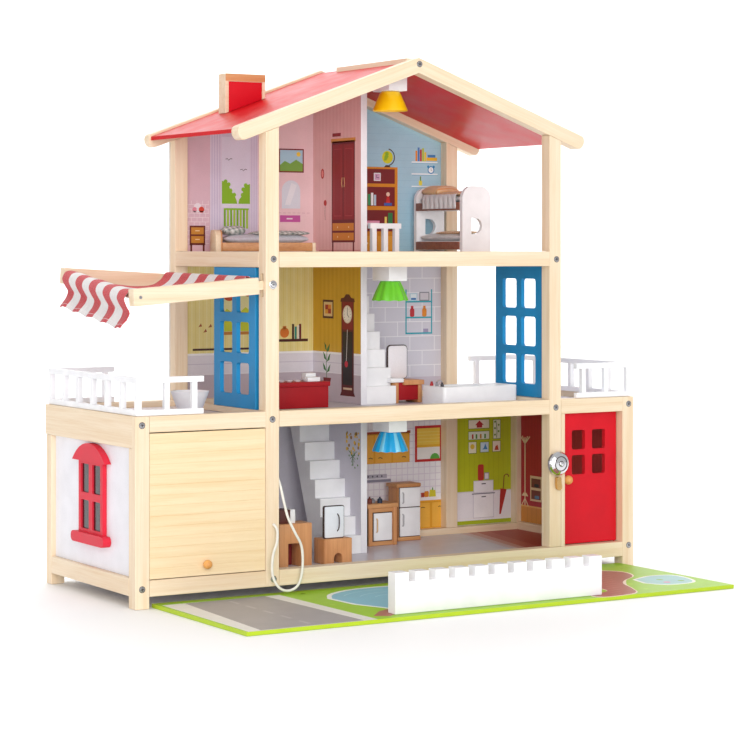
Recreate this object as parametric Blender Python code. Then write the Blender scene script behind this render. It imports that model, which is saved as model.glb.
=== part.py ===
"""A three-storey wooden dollhouse with two wings, built from separate wooden pieces.

Metres, +Z up. All positions below are house coordinates: X runs right from the left wing's
outer side, Y runs back from the front face, Z runs up from the ground. One empty, house_origin,
moves them so that the object's box is centred over the world origin.
"""

import math

import bmesh
import bpy
from mathutils import Matrix, Vector

# ---------------------------------------------------------------- driving dimensions
GAP = 0.0003                    # clearance between pieces that touch
EASE = 0.0007                   # easing of the wooden pieces' edges
WIDTH = 0.800                   # outer sides of the two wings
DEPTH = 0.290                   # front face to the back wall's rear face
STICK = 0.020                   # section of every post
RAIL = 0.021                    # height of every rail
MAIN_LEFT = 0.190               # outer sides of the main block's posts
MAIN_RIGHT = 0.670
SILL_Z = 0.0155                 # undersides of the rails, storey by storey
FIRST_Z = 0.2265
ATTIC_Z = 0.4380
SLAB = 0.005                    # thickness of the floors and walls
GROUND_FLOOR = 0.027            # upper faces of the floors
FIRST_FLOOR = 0.239
ATTIC_FLOOR = 0.4495
BACK_SHEET = 0.0035             # thickness of the back wall
SIDE_BOARD = 0.0065             # thickness of the wings' side boards
CENTRE_X = 0.430                # partitions and ridge
PARTITION = 0.010               # thickness of a partition
PARTITION_FRONT = 0.148
APEX_Z = 0.7259                 # top of the gable boards
ROOF_ANGLE = math.radians(20.0)
GABLE_BOARD = 0.0198            # height of a gable board, square to its slope
GABLE_HALF = 0.284              # ridge to eave, level
ROOF_SHEET = 0.005
ROOF_DROP = 0.0035              # the roof panels lie this far below the gable boards' tops
RIDGE_HALF = 0.008
RIDGE_END = 0.213               # the ridge beam stops here, and the roof panels meet behind it
PIN = 0.0012                    # radius of the doors' hinge pins
PIN_REACH = 0.0045              # how far a pin stands out of a door's edge
PIN_ROOT = 0.002
GARAGE_HINGE = (0.005, 0.2195)  # Y and Z
DOOR_HINGE = (0.776, 0.016)     # X and Y
FRENCH_HINGE_Y = 0.034
FRENCH_LEFT_X = 0.194           # middle of the left French door's thickness
FRENCH_RIGHT_X = 0.663
FRENCH_DOOR = 0.006             # thickness
AWNING_PIVOT = (0.200, 0.415)   # X and Z of the awning's bolts
AWNING_ARM = 0.022              # height of an awning arm
AWNING_SHOULDER = 0.0190        # bolt to the arms' shoulders
AWNING_TONGUE = 0.006           # thickness of an arm's tongue
AWNING_FRONT = (0.2015, math.radians(4.4))      # bolt to an arm's outer end, and how far it droops
AWNING_BACK = (0.1800, math.radians(-3.3))
AWNING_BAR_IN = 0.010           # an arm's outer end to the middle of the outer bar
AWNING_FRONT_ARM = (0.0020, 0.0180)
AWNING_BACK_ARM = (0.2715, 0.2860)
AWNING_REACH = 0.0136           # how far the cloth stands out beyond the left wing
BELL = (0.661, 0.1565)          # X and Z of the bell's middle
BELL_LEVER = (0.6615, 0.1330)   # X and Z of its lever's pin
STAIR_WIDTH = 0.0494
STAIR_TREAD = 0.015
STAIR_STEPS = 8
RAILING = 0.0495                # height of a railing
RAILING_BAR = 0.0075
MAT_FRONT = 0.250               # how far the play mat runs out in front
MAT_THICK = 0.005
CORD_RADIUS = 0.0018

BACK_FRONT = DEPTH - STICK                  # front faces of the back posts and rails
BACK_FRAME = DEPTH - BACK_SHEET - GAP       # their rear faces
INNER_FRONT = STICK + GAP                   # free depth between the front and back frames
INNER_BACK = BACK_FRONT - GAP
LAP = STICK / 2                             # depth of a half-lap joint
SLOPE = math.tan(ROOF_ANGLE)
GABLE_DROP = GABLE_BOARD / math.cos(ROOF_ANGLE)
ROOF_THICK = ROOF_SHEET / math.cos(ROOF_ANGLE)
PAST = 0.001                                # how far a cutter runs past a face

SIDE_BOARD_Z = 0.206            # underside of the wings' side boards
ATTIC_RAIL_BLIND = 0.006        # the attic rails' ends stop this far inside the posts
SIDE_RAIL_TOP = 0.0385
WINDOW_Y = (0.1015, 0.1785)     # outline of the window in the left wing
WINDOW_Z = (0.0825, 0.1814)
PANE_FLOOR = 0.0032             # X of the floor of the blind panes
WINDOW_PLUG = 0.0050            # the part of it in the wall's opening is this much smaller
CHIMNEY_X = (0.242, 0.306)
CHIMNEY_Y = (0.215, 0.237)
CHIMNEY_TOP = 0.711
# For each cross bar: whether it is the outer one, its height over the arms, radius and sides.
AWNING_BARS = ((True, 0.0, 0.0045, 12), (False, 0.0075, 0.0030, 8))
CLOTH_THICK = 0.0012
CLOTH_BAR = 0.196               # where the route below passes over the outer bar
INNER_BAR = 0.027               # and over the inner bar
# The cloth's course, as (distance out from the bolts, height over the arm).
CLOTH_ROUTE = ((0.0205, 0.0065), (0.0225, 0.0113), (0.0265, 0.0131), (0.0310, 0.0110), (0.0390, 0.0019),
               (0.0520, -0.0055), (0.0720, -0.0095), (0.0980, -0.0102), (0.1260, -0.0083),
               (0.1540, -0.0035), (0.1760, 0.0021), (0.1900, 0.0068), (0.1990, 0.0077), (0.2060, 0.0052),
               (0.2100, -0.0023), (0.2095, -0.0085), (0.2050, -0.0150), (0.1995, -0.0215),
               (0.2040, -0.0290), (0.2110, -0.0360), (0.2177, -0.0420))
FENCE_X = (0.248, 0.569)
FENCE_Y = (-0.232, -0.214)
FENCE_HEIGHT = 0.052
FENCE_NOTCH = (0.010, 0.012)
FENCE_NOTCHES = 10
CORD_ROUTE = ((0.2002, -0.0016, 0.0974), (0.2004, -0.0046, 0.0970), (0.2030, -0.0075, 0.0895),
              (0.2013, -0.0095, 0.0746), (0.1955, -0.0110, 0.0612), (0.1928, -0.0120, 0.0474),
              (0.1932, -0.0125, 0.0330), (0.1985, -0.0125, 0.0205), (0.2080, -0.0120, 0.0120),
              (0.2200, -0.0115, 0.0100), (0.2315, -0.0110, 0.0150), (0.2380, -0.0100, 0.0270),
              (0.2408, -0.0090, 0.0479), (0.2390, -0.0080, 0.0683), (0.2300, -0.0068, 0.0860),
              (0.2205, -0.0055, 0.1058), (0.2150, -0.0035, 0.1283), (0.2134, 0.0010, 0.1440),
              (0.2130, 0.0060, 0.1530), (0.2125, 0.0100, 0.1600))


# ---------------------------------------------------------------- materials
def material(name, colour, roughness, metallic=0.0):
    made = bpy.data.materials.new(name)
    made.use_nodes = True
    shader = made.node_tree.nodes["Principled BSDF"]
    shader.inputs["Base Color"].default_value = (*colour, 1.0)
    shader.inputs["Roughness"].default_value = roughness
    shader.inputs["Metallic"].default_value = metallic
    return made


# ---------------------------------------------------------------- shape tools
def add_prism(mesh, outline, axis, start, end, far=None):
    """An outline pulled along an axis, to a far outline if given. Points are (y, z), (x, z) or (x, y)."""
    place = {"X": lambda a, b, t: (t, a, b), "Y": lambda a, b, t: (a, t, b),
             "Z": lambda a, b, t: (a, b, t)}[axis]
    first = [mesh.verts.new(place(a, b, start)) for a, b in outline]
    last = [mesh.verts.new(place(a, b, end)) for a, b in far or outline]
    mesh.faces.new(first)
    mesh.faces.new(last)
    for i in range(len(outline)):
        j = (i + 1) % len(outline)
        mesh.faces.new((first[i], first[j], last[j], last[i]))


def add_box(mesh, low, high):
    add_prism(mesh, rectangle((low[0], low[1]), (high[0], high[1])), "Z", low[2], high[2])


def add_turned(mesh, profile, centre, sides):
    """A profile of (radius, height), from the axis back to the axis, spun round the vertical."""
    rings = []
    for radius, height in profile:
        turns = sides if radius > 0.0 else 1
        rings.append([mesh.verts.new((centre[0] + radius * math.cos(2 * math.pi * i / sides),
                                      centre[1] + radius * math.sin(2 * math.pi * i / sides),
                                      centre[2] + height)) for i in range(turns)])
    for ring, after in zip(rings, rings[1:]):
        for i in range(sides):
            j = (i + 1) % sides
            corners = [ring[i % len(ring)], ring[j % len(ring)],
                       after[j % len(after)], after[i % len(after)]]
            mesh.faces.new(list(dict.fromkeys(corners)))


def rectangle(low, high):
    return [low, (high[0], low[1]), high, (low[0], high[1])]


def arc(centre, radius, start, end, steps):
    """Points on a circle between two angles in degrees, both ends included."""
    angles = [math.radians(start + (end - start) * i / steps) for i in range(steps + 1)]
    return [(centre[0] + radius * math.cos(a), centre[1] + radius * math.sin(a)) for a in angles]


def circle(centre, radius, sides):
    return arc(centre, radius, 0, 360 - 360 / sides, sides - 1)


def rounded(low, high, radius, steps=3):
    """A rectangle with round corners."""
    corners = ((high[0] - radius, high[1] - radius), (low[0] + radius, high[1] - radius),
               (low[0] + radius, low[1] + radius), (high[0] - radius, low[1] + radius))
    outline = []
    for i, corner in enumerate(corners):
        outline += arc(corner, radius, 90 * i, 90 * i + 90, steps)
    return outline


def finished(name, mesh, look=None):
    """Turns a bmesh into an object under house_origin."""
    bmesh.ops.recalc_face_normals(mesh, faces=mesh.faces)
    data = bpy.data.meshes.new(name)
    mesh.to_mesh(data)
    mesh.free()
    made = bpy.data.objects.new(name, data)
    bpy.context.scene.collection.objects.link(made)
    made.parent = house_origin
    if look:
        data.materials.append(look)
    return made


def boolean(target, operation, mesh):
    """Adds or cuts a hidden helper made from the mesh."""
    helper = finished(f"{target.name}_{operation.lower()}_{len(target.modifiers)}", mesh)
    helper.hide_render = True
    helper.display_type = "WIRE"
    step = target.modifiers.new(operation.title(), "BOOLEAN")
    step.operation = operation
    step.object = helper
    step.solver = "EXACT"
    return target


def prism(name, look, outline, axis, start, end, ease=0.0, far=None):
    """An object from an outline pulled along an axis, with its sharp edges eased if asked."""
    mesh = bmesh.new()
    add_prism(mesh, outline, axis, start, end, far)
    made = finished(name, mesh, look)
    if ease:
        eased = made.modifiers.new("Eased edges", "BEVEL")
        eased.width = ease
        eased.segments = 2
        eased.limit_method = "ANGLE"
        eased.angle_limit = math.radians(50)
    return made


def box(name, look, low, high, ease=0.0):
    outline = rectangle((low[0], low[1]), (high[0], high[1]))
    return prism(name, look, outline, "Z", low[2], high[2], ease)


def cut_prisms(target, outlines, axis, start, end):
    mesh = bmesh.new()
    for outline in outlines:
        add_prism(mesh, outline, axis, start, end)
    return boolean(target, "DIFFERENCE", mesh)


def cut_boxes(target, boxes):
    mesh = bmesh.new()
    for low, high in boxes:
        add_box(mesh, low, high)
    return boolean(target, "DIFFERENCE", mesh)


def add_part(target, outline, axis, start, end, far=None):
    mesh = bmesh.new()
    add_prism(mesh, outline, axis, start, end, far)
    return boolean(target, "UNION", mesh)


def move_origin(target, point):
    """Puts an object's origin on its joint's axis, and leaves its shape where it is."""
    target.data.transform(Matrix.Translation(-Vector(point)))
    target.location = point
    return target


def pin_joint(door, axis, centre, edges, sockets):
    """Round pins out of the door's two edges, and their clearance holes in the pieces beside it."""
    start = edges[0] - PIN_REACH
    end = edges[1] + PIN_REACH
    add_part(door, circle(centre, PIN, 10), axis, start, edges[0] + PIN_ROOT)
    add_part(door, circle(centre, PIN, 10), axis, edges[1] - PIN_ROOT, end)
    for name in sockets:
        hole = circle(centre, PIN + GAP, 10)
        cut_prisms(bpy.data.objects[name], [hole], axis, start - GAP, end + GAP)


def roof_z(x, drop):
    """Height of the roof line at x, a drop below the gable boards' tops."""
    return APEX_Z - drop - SLOPE * abs(x - CENTRE_X)


# ---------------------------------------------------------------- frame
def frame_depth(front):
    return (0.0, STICK) if front else (BACK_FRONT, BACK_FRAME)


def lap_depth(front):
    """The half of the frame's depth, on the rooms' side, that the long rails keep."""
    return (LAP - GAP, STICK + PAST) if front else (BACK_FRONT - PAST, BACK_FRONT + LAP)


def wing_post(side, x, front, wood):
    """A corner post that stands on the ground, pocketed for the rails and the side board."""
    place = "front" if front else "back"
    depth = frame_depth(front)
    post = box(f"wing_post_{place}_{side}", wood, (x, depth[0], 0.0), (x + STICK, depth[1], FIRST_Z + RAIL),
               EASE)
    lap = lap_depth(front)
    rail = (x + LAP, x + STICK + PAST) if side == "left" else (x - PAST, x + LAP)
    board = (x - PAST, x + SIDE_BOARD + GAP)
    if side == "right":
        board = (x + STICK - SIDE_BOARD - GAP, x + STICK + PAST)
    board_y = (LAP - GAP, STICK + PAST) if front else (BACK_FRONT - PAST, DEPTH)
    return cut_boxes(post, [
        ((rail[0], lap[0], SILL_Z - GAP), (rail[1], lap[1], SILL_Z + RAIL + GAP)),
        ((rail[0], lap[0], FIRST_Z - GAP), (rail[1], lap[1], FIRST_Z + RAIL + PAST)),
        ((board[0], board_y[0], SIDE_BOARD_Z - GAP), (board[1], board_y[1], FIRST_Z + RAIL + PAST))])


def main_post(side, x, front, wood):
    """A post of the main block, cut off at the slope of the gable board that rests on it."""
    place = "front" if front else "back"
    depth = frame_depth(front)
    lap = lap_depth(front)
    foot = SILL_Z if side == "left" else SILL_Z + RAIL + GAP
    drop = GABLE_DROP + GAP
    outline = [(x, foot), (x + STICK, foot), (x + STICK, roof_z(x + STICK, drop)), (x, roof_z(x, drop))]
    post = prism(f"main_post_{place}_{side}", wood, outline, "Y", *depth, EASE)
    across = (x - PAST, x + STICK + PAST)
    blind = (x + ATTIC_RAIL_BLIND - GAP, across[1])
    if side == "right":
        blind = (across[0], x + STICK - ATTIC_RAIL_BLIND + GAP)
    pockets = [((across[0], lap[0], FIRST_Z - GAP), (across[1], lap[1], FIRST_Z + RAIL + GAP)),
               ((blind[0], lap[0], ATTIC_Z - GAP), (blind[1], lap[1], ATTIC_Z + RAIL + GAP))]
    if side == "left":
        pockets.append(((across[0], lap[0], foot - PAST), (across[1], lap[1], SILL_Z + RAIL + GAP)))
    return cut_boxes(post, pockets)


def long_rail(name, z, ends, laps, front, wood):
    """A rail that runs behind the posts in half-lap joints and is flush with them in between."""
    depth = frame_depth(front)
    rail = box(name, wood, (ends[0], depth[0], z), (ends[1], depth[1], z + RAIL), EASE)
    removed = (-PAST, LAP) if front else (BACK_FRONT + LAP - GAP, BACK_FRAME + PAST)
    return cut_boxes(rail, [((low - GAP, removed[0], z - PAST), (high + GAP, removed[1], z + RAIL + PAST))
                            for low, high in laps])


def posts_and_rails(wood):
    wing_left = (0.0, STICK)
    wing_right = (WIDTH - STICK, WIDTH)
    main_left = (MAIN_LEFT, MAIN_LEFT + STICK)
    main_right = (MAIN_RIGHT - STICK, MAIN_RIGHT)
    wing_ends = (LAP + GAP, WIDTH - LAP - GAP)
    main_ends = (MAIN_LEFT + ATTIC_RAIL_BLIND, MAIN_RIGHT - ATTIC_RAIL_BLIND)
    for front in (True, False):
        place = "front" if front else "back"
        wing_post("left", wing_left[0], front, wood)
        wing_post("right", wing_right[0], front, wood)
        main_post("left", main_left[0], front, wood)
        main_post("right", main_right[0], front, wood)
        long_rail(f"{place}_sill", SILL_Z, wing_ends, (wing_left, main_left, wing_right), front, wood)
        long_rail(f"first_floor_rail_{place}", FIRST_Z, wing_ends,
                  (wing_left, main_left, main_right, wing_right), front, wood)
        long_rail(f"attic_rail_{place}", ATTIC_Z, main_ends, (main_left, main_right), front, wood)


def side_rails(wood):
    """The rails and boards that join the front frame to the back frame."""
    for side, x in (("left", MAIN_LEFT), ("right", MAIN_RIGHT - STICK)):
        box(f"attic_rail_{side}", wood, (x, INNER_FRONT, ATTIC_Z),
            (x + STICK, INNER_BACK, ATTIC_Z + RAIL), EASE)
        box(f"threshold_{side}", wood, (x, INNER_FRONT, FIRST_FLOOR + GAP),
            (x + STICK, INNER_BACK, FIRST_Z + RAIL), EASE)
    for side, x in (("left", 0.0), ("right", WIDTH - STICK)):
        box(f"bottom_side_rail_{side}", wood, (x, INNER_FRONT, SILL_Z),
            (x + STICK, INNER_BACK, SIDE_RAIL_TOP), EASE)
    for side, x in (("left", 0.0), ("right", WIDTH - SIDE_BOARD)):
        box(f"side_board_{side}", wood, (x, LAP, SIDE_BOARD_Z), (x + SIDE_BOARD, DEPTH, FIRST_Z + RAIL), EASE)


# ---------------------------------------------------------------- floors and walls
def floors(board):
    between = STICK + GAP
    inside = SIDE_BOARD + GAP
    box("ground_floor", board, (between, INNER_FRONT, GROUND_FLOOR - SLAB),
        (WIDTH - between, INNER_BACK, GROUND_FLOOR))
    box("first_floor", board, (inside, INNER_FRONT, FIRST_FLOOR - SLAB),
        (WIDTH - inside, INNER_BACK, FIRST_FLOOR))
    box("attic_floor", board, (MAIN_LEFT + between, INNER_FRONT, ATTIC_FLOOR - SLAB),
        (MAIN_RIGHT - between, INNER_BACK, ATTIC_FLOOR))


def back_wall(board):
    """One sheet closes the back: both wings, the main block and the gable."""
    low = SILL_Z
    wing = FIRST_Z + RAIL
    inside = SIDE_BOARD + GAP
    drop = APEX_Z - 0.7159
    outline = [(inside, low), (WIDTH - inside, low), (WIDTH - inside, wing), (MAIN_RIGHT, wing),
               (MAIN_RIGHT, roof_z(MAIN_RIGHT, drop)), (CENTRE_X, roof_z(CENTRE_X, drop)),
               (MAIN_LEFT, roof_z(MAIN_LEFT, drop)), (MAIN_LEFT, wing), (inside, wing)]
    prism("back_wall", board, outline, "Y", DEPTH - BACK_SHEET, DEPTH)


def partition(name, front_part, tongue, board):
    """A wall board whose rear tongue reaches between the back rails to the back wall."""
    front = [(PARTITION_FRONT, front_part[0] + GAP), (INNER_BACK, front_part[0] + GAP)]
    rear = [(INNER_BACK, tongue[0] + GAP), (BACK_FRAME, tongue[0] + GAP),
            (BACK_FRAME, tongue[1] - GAP), (INNER_BACK, tongue[1] - GAP)]
    top = [(y, z - GAP) for y, z in front_part[1]]
    prism(name, board, front + rear + top, "X", CENTRE_X - PARTITION / 2, CENTRE_X + PARTITION / 2)


def partitions(board):
    first_under = FIRST_FLOOR - SLAB
    attic_under = ATTIC_FLOOR - SLAB
    partition("ground_partition", (GROUND_FLOOR, [(INNER_BACK, first_under), (PARTITION_FRONT, first_under)]),
              (SILL_Z + RAIL, FIRST_Z), board)
    partition("first_floor_partition",
              (FIRST_FLOOR, [(INNER_BACK, attic_under), (PARTITION_FRONT, attic_under)]),
              (FIRST_Z + RAIL, ATTIC_Z), board)
    ridge = APEX_Z - GABLE_DROP
    sheet = roof_z(CENTRE_X + PARTITION / 2, ROOF_DROP + ROOF_THICK)
    gable = roof_z(CENTRE_X + PARTITION / 2, GABLE_DROP)
    partition("attic_partition",
              (ATTIC_FLOOR, [(INNER_BACK, sheet), (RIDGE_END + GAP, sheet), (RIDGE_END + GAP, ridge),
                             (PARTITION_FRONT, ridge)]),
              (ATTIC_Z + RAIL, gable), board)


def wing_walls(board):
    """The garage's inner wall and the two wings' outer walls; the left one has the window opening."""
    top = FIRST_FLOOR - SLAB - GAP
    box("garage_partition", board, (MAIN_LEFT + 0.0065, INNER_FRONT, GROUND_FLOOR + GAP),
        (MAIN_LEFT + 0.0135, INNER_BACK, top))
    inside = SIDE_BOARD + GAP
    low = SIDE_RAIL_TOP + GAP
    left = box("left_side_wall", board, (inside, INNER_FRONT, low), (inside + SLAB, INNER_BACK, top))
    box("right_side_wall", board, (WIDTH - inside - SLAB, INNER_FRONT, low),
        (WIDTH - inside, INNER_BACK, top))
    opening = WINDOW_PLUG - GAP
    cut_boxes(left, [((0.0, WINDOW_Y[0] + opening, WINDOW_Z[0] + 0.0033 - GAP),
                      (0.020, WINDOW_Y[1] - opening, WINDOW_Z[1] - 0.0033 + GAP))])


def side_window(red):
    """A window of four blind panes with an arched header and a rounded sill, plugged into the wall."""
    made = box("side_window", red, (0.0005, WINDOW_Y[0], WINDOW_Z[0]), (SIDE_BOARD, WINDOW_Y[1], WINDOW_Z[1]))
    plug = rectangle((WINDOW_Y[0] + WINDOW_PLUG, WINDOW_Z[0] + 0.0033),
                     (WINDOW_Y[1] - WINDOW_PLUG, WINDOW_Z[1] - 0.0033))
    add_part(made, plug, "X", SIDE_BOARD - 0.001, SIDE_BOARD + SLAB)
    middle = (WINDOW_Y[0] + WINDOW_Y[1]) / 2
    half = 0.0525
    rise = 0.0245
    radius = (half * half + rise * rise) / (2 * rise)
    spread = math.degrees(math.asin(half / radius))
    header_low = WINDOW_Z[1] - 0.002
    header = arc((middle, header_low + rise - radius), radius, 90 - spread, 90 + spread, 12)
    add_part(made, header, "X", -0.003, SIDE_BOARD)
    sill = rounded((middle - 0.0525, 0.0697), (middle + 0.0525, WINDOW_Z[0] + 0.0014), 0.0070, 4)
    add_part(made, sill, "X", -0.005, SIDE_BOARD)
    border = 0.0075
    pane = (0.0255, 0.0385)
    panes = []
    for y in (WINDOW_Y[0] + border, WINDOW_Y[1] - border - pane[0]):
        for z in (WINDOW_Z[0] + 0.006, WINDOW_Z[1] - 0.006 - pane[1]):
            panes.append(rounded((y, z), (y + pane[0], z + pane[1]), 0.002, 2))
    return cut_prisms(made, panes, "X", -0.010, PANE_FLOOR)


# ---------------------------------------------------------------- roof
def gable_outline():
    """An inverted V with rounded eave ends, seen from the front."""
    half = GABLE_BOARD / 2
    nose = half * 0.7
    ends = {}
    for side in (-1, 1):
        along = Vector((side * math.cos(ROOF_ANGLE), -math.sin(ROOF_ANGLE)))
        up = Vector((side * math.sin(ROOF_ANGLE), math.cos(ROOF_ANGLE)))
        tip = Vector((CENTRE_X + side * GABLE_HALF, roof_z(CENTRE_X + GABLE_HALF, 0.0)))
        middle = tip - up * half - along * nose
        ends[side] = [tuple(middle + along * nose * math.cos(t) + up * half * math.sin(t))
                      for t in (math.radians(90 - 30 * i) for i in range(7))]
    return ends[1] + [(CENTRE_X, APEX_Z - GABLE_DROP)] + ends[-1][::-1] + [(CENTRE_X, APEX_Z)]


def roof_panel(name, side, red):
    """A thin sheet on one slope, notched at the top for the ridge beam."""
    eave = CENTRE_X + side * (GABLE_HALF - 0.006)
    top = CENTRE_X + side * GAP
    outline = [(top, roof_z(top, ROOF_DROP)), (eave, roof_z(eave, ROOF_DROP)),
               (eave, roof_z(eave, ROOF_DROP + ROOF_THICK)), (top, roof_z(top, ROOF_DROP + ROOF_THICK))]
    panel = prism(name, red, outline, "Y", INNER_FRONT, INNER_BACK)
    notch = sorted((CENTRE_X - side * PAST, CENTRE_X + side * (RIDGE_HALF + GAP)))
    return cut_boxes(panel, [((notch[0], 0.0, APEX_Z - 0.05), (notch[1], RIDGE_END + GAP, APEX_Z + 0.01))])


def roof(wood, red):
    outline = gable_outline()
    prism("front_gable_board", wood, outline, "Y", *frame_depth(True), EASE)
    prism("back_gable_board", wood, outline, "Y", *frame_depth(False), EASE)
    roof_panel("roof_panel_left", -1, red)
    roof_panel("roof_panel_right", 1, red)
    box("ridge_beam", wood, (CENTRE_X - RIDGE_HALF, INNER_FRONT, APEX_Z - GABLE_DROP + GAP),
        (CENTRE_X + RIDGE_HALF, RIDGE_END, APEX_Z + GAP))


def chimney(wood):
    """A block cut to the left slope, with a shallow recess in its front that runs down to the roof."""
    low, high = CHIMNEY_X
    rest = ROOF_DROP - GAP
    outline = [(low, roof_z(low, rest)), (high, roof_z(high, rest)), (high, CHIMNEY_TOP), (low, CHIMNEY_TOP)]
    block = prism("chimney", wood, outline, "Y", *CHIMNEY_Y, EASE)
    border = 0.005
    recess = [(low + border, roof_z(low + border, rest) - PAST),
              (high - border, roof_z(high - border, rest) - PAST),
              (high - border, CHIMNEY_TOP - 0.011), (low + border, CHIMNEY_TOP - 0.011)]
    return cut_prisms(block, [recess], "Y", CHIMNEY_Y[0] - PAST, CHIMNEY_Y[0] + 0.002)


# ---------------------------------------------------------------- doors
def add_knob(door, x, z, tip_y, root_y, radius):
    """A ball knob on a short stalk."""
    ball = bmesh.new()
    bmesh.ops.create_uvsphere(ball, u_segments=16, v_segments=10, radius=radius)
    bmesh.ops.translate(ball, verts=ball.verts, vec=(x, tip_y + radius, z))
    boolean(door, "UNION", ball)
    return add_part(door, circle((x, z), radius * 0.45, 10), "Y", tip_y + radius, root_y + 0.001)


def garage_door(wood):
    """An up-and-over panel, scored like planks, on pins in its top corners."""
    low = STICK + 0.0006
    high = MAIN_LEFT - 0.0006
    bottom = SILL_Z + RAIL + 0.0012
    face = 0.001
    door = box("garage_door", wood, (low, face, bottom), (high, 0.009, GARAGE_HINGE[1] + 0.0055))
    planks = 14
    pitch = (GARAGE_HINGE[1] + 0.0055 - bottom) / planks
    scores = [bottom + pitch * i for i in range(1, planks)]
    cut_boxes(door, [((low - PAST, face - PAST, z), (high + PAST, face + 0.0006, z + 0.0008))
                     for z in scores])
    add_knob(door, 0.1016, 0.052, -0.0105, face, 0.0058)
    pin_joint(door, "X", GARAGE_HINGE, (low, high), ("wing_post_front_left", "main_post_front_left"))
    return move_origin(door, ((low + high) / 2, *GARAGE_HINGE))


def front_door(red):
    """A door with four rounded panes and a ball knob. Its hinge side is round."""
    thick = 0.007
    low_y = DOOR_HINGE[1] - thick / 2
    bottom = SILL_Z + RAIL + 0.0012
    top = FIRST_Z - 0.0010
    outline = [(0.6771, low_y + thick), (0.6771, low_y)] + arc(DOOR_HINGE, thick / 2, -90, 90, 6)
    door = prism("front_door", red, outline, "Z", bottom, top, EASE)
    panes = []
    for x in (0.698, 0.734):
        for z in (0.137, 0.173):
            panes.append(rounded((x, z), (x + 0.0235, z + 0.028), 0.003))
    cut_prisms(door, panes, "Y", 0.0, STICK + 0.010)
    add_knob(door, 0.687, 0.1306, -0.0004, low_y, 0.0064)
    pin_joint(door, "Z", DOOR_HINGE, (bottom, top), ("front_sill", "first_floor_rail_front"))
    return move_origin(door, (*DOOR_HINGE, (bottom + top) / 2))


def french_door(side, x, blue):
    """A narrow door with six open panes, on pins near the front post."""
    half = FRENCH_DOOR / 2
    low_y = FRENCH_HINGE_Y - half
    width = 0.121
    bottom = FIRST_Z + RAIL + GAP
    top = ATTIC_Z - GAP
    door = box(f"french_door_{side}", blue, (x - half, low_y, bottom), (x + half, low_y + width, top), EASE)
    stile = 0.0185
    bar = 0.0125
    pane_y = (width - 2 * stile - bar) / 2
    pane_z = (top - bottom - 2 * stile - 2 * bar) / 3
    panes = []
    for i in range(2):
        for j in range(3):
            y = low_y + stile + i * (pane_y + bar)
            z = bottom + stile + j * (pane_z + bar)
            panes.append(rounded((y, z), (y + pane_y, z + pane_z), 0.004))
    cut_prisms(door, panes, "X", x - 0.010, x + 0.010)
    pin_joint(door, "Z", (x, FRENCH_HINGE_Y), (bottom, top), (f"threshold_{side}", f"attic_rail_{side}"))
    return move_origin(door, (x, FRENCH_HINGE_Y, (bottom + top) / 2))


def door_jamb(wood):
    """The stop strip beside the front door."""
    box("front_door_jamb", wood, (MAIN_RIGHT + GAP, 0.0, SILL_Z + RAIL + GAP),
        (MAIN_RIGHT + 0.0066, STICK, FIRST_Z - GAP))


# ---------------------------------------------------------------- door bell
def bell(chrome, brass):
    """A round dome on a foot, and under it the lever that strikes it."""
    mesh = bmesh.new()
    profile = [(0.0, 0.0), (0.0060, 0.0), (0.0060, 0.0030), (0.0170, 0.0030), (0.0175, 0.0045),
               (0.0170, 0.0075), (0.0150, 0.0100), (0.0110, 0.0122), (0.0060, 0.0134), (0.0, 0.0138)]
    add_turned(mesh, profile, (0.0, 0.0, 0.0), 24)
    mesh.transform(Matrix.Translation((BELL[0], -GAP, BELL[1])) @ Matrix.Rotation(math.radians(90), 4, "X"))
    finished("bell_dome", mesh, chrome)
    x, z = BELL_LEVER
    outline = arc((x, z), 0.0048, 40, 140, 3) + [(x - 0.0040, z - 0.004)]
    outline += arc((x + 0.0010, z - 0.0105), 0.0042, 190, 350, 5) + [(x + 0.0040, z - 0.004)]
    lever = prism("bell_lever", brass, outline, "Y", -0.0075, -0.0025)
    add_part(lever, circle(BELL_LEVER, 0.0015, 10), "Y", -0.0050, 0.0060)
    cut_prisms(bpy.data.objects["main_post_front_right"], [circle(BELL_LEVER, 0.0015 + GAP, 10)], "Y",
               -PAST, 0.0060 + GAP)
    return move_origin(lever, (x, 0.0, z))


# ---------------------------------------------------------------- awning
def arm_point(arm, distance, height):
    """A point of an arm, from its distance out from the bolt and its height over the arm's middle."""
    droop = arm[1]
    along = Vector((-math.cos(droop), -math.sin(droop)))
    up = Vector((-math.sin(droop), math.cos(droop)))
    return tuple(Vector(AWNING_PIVOT) + along * distance + up * height)


def arm_body(arm):
    half = AWNING_ARM / 2
    return [arm_point(arm, AWNING_SHOULDER, half), arm_point(arm, arm[0], half),
            arm_point(arm, arm[0], -half), arm_point(arm, AWNING_SHOULDER, -half)]


def arm_tongue(arm):
    radius = 0.006
    round_end = [arm_point(arm, -radius * c, radius * s) for c, s in arc((0, 0), 1, 90, -90, 6)]
    root = AWNING_SHOULDER + 0.005
    return round_end + [arm_point(arm, root, -radius), arm_point(arm, root, radius)]


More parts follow.
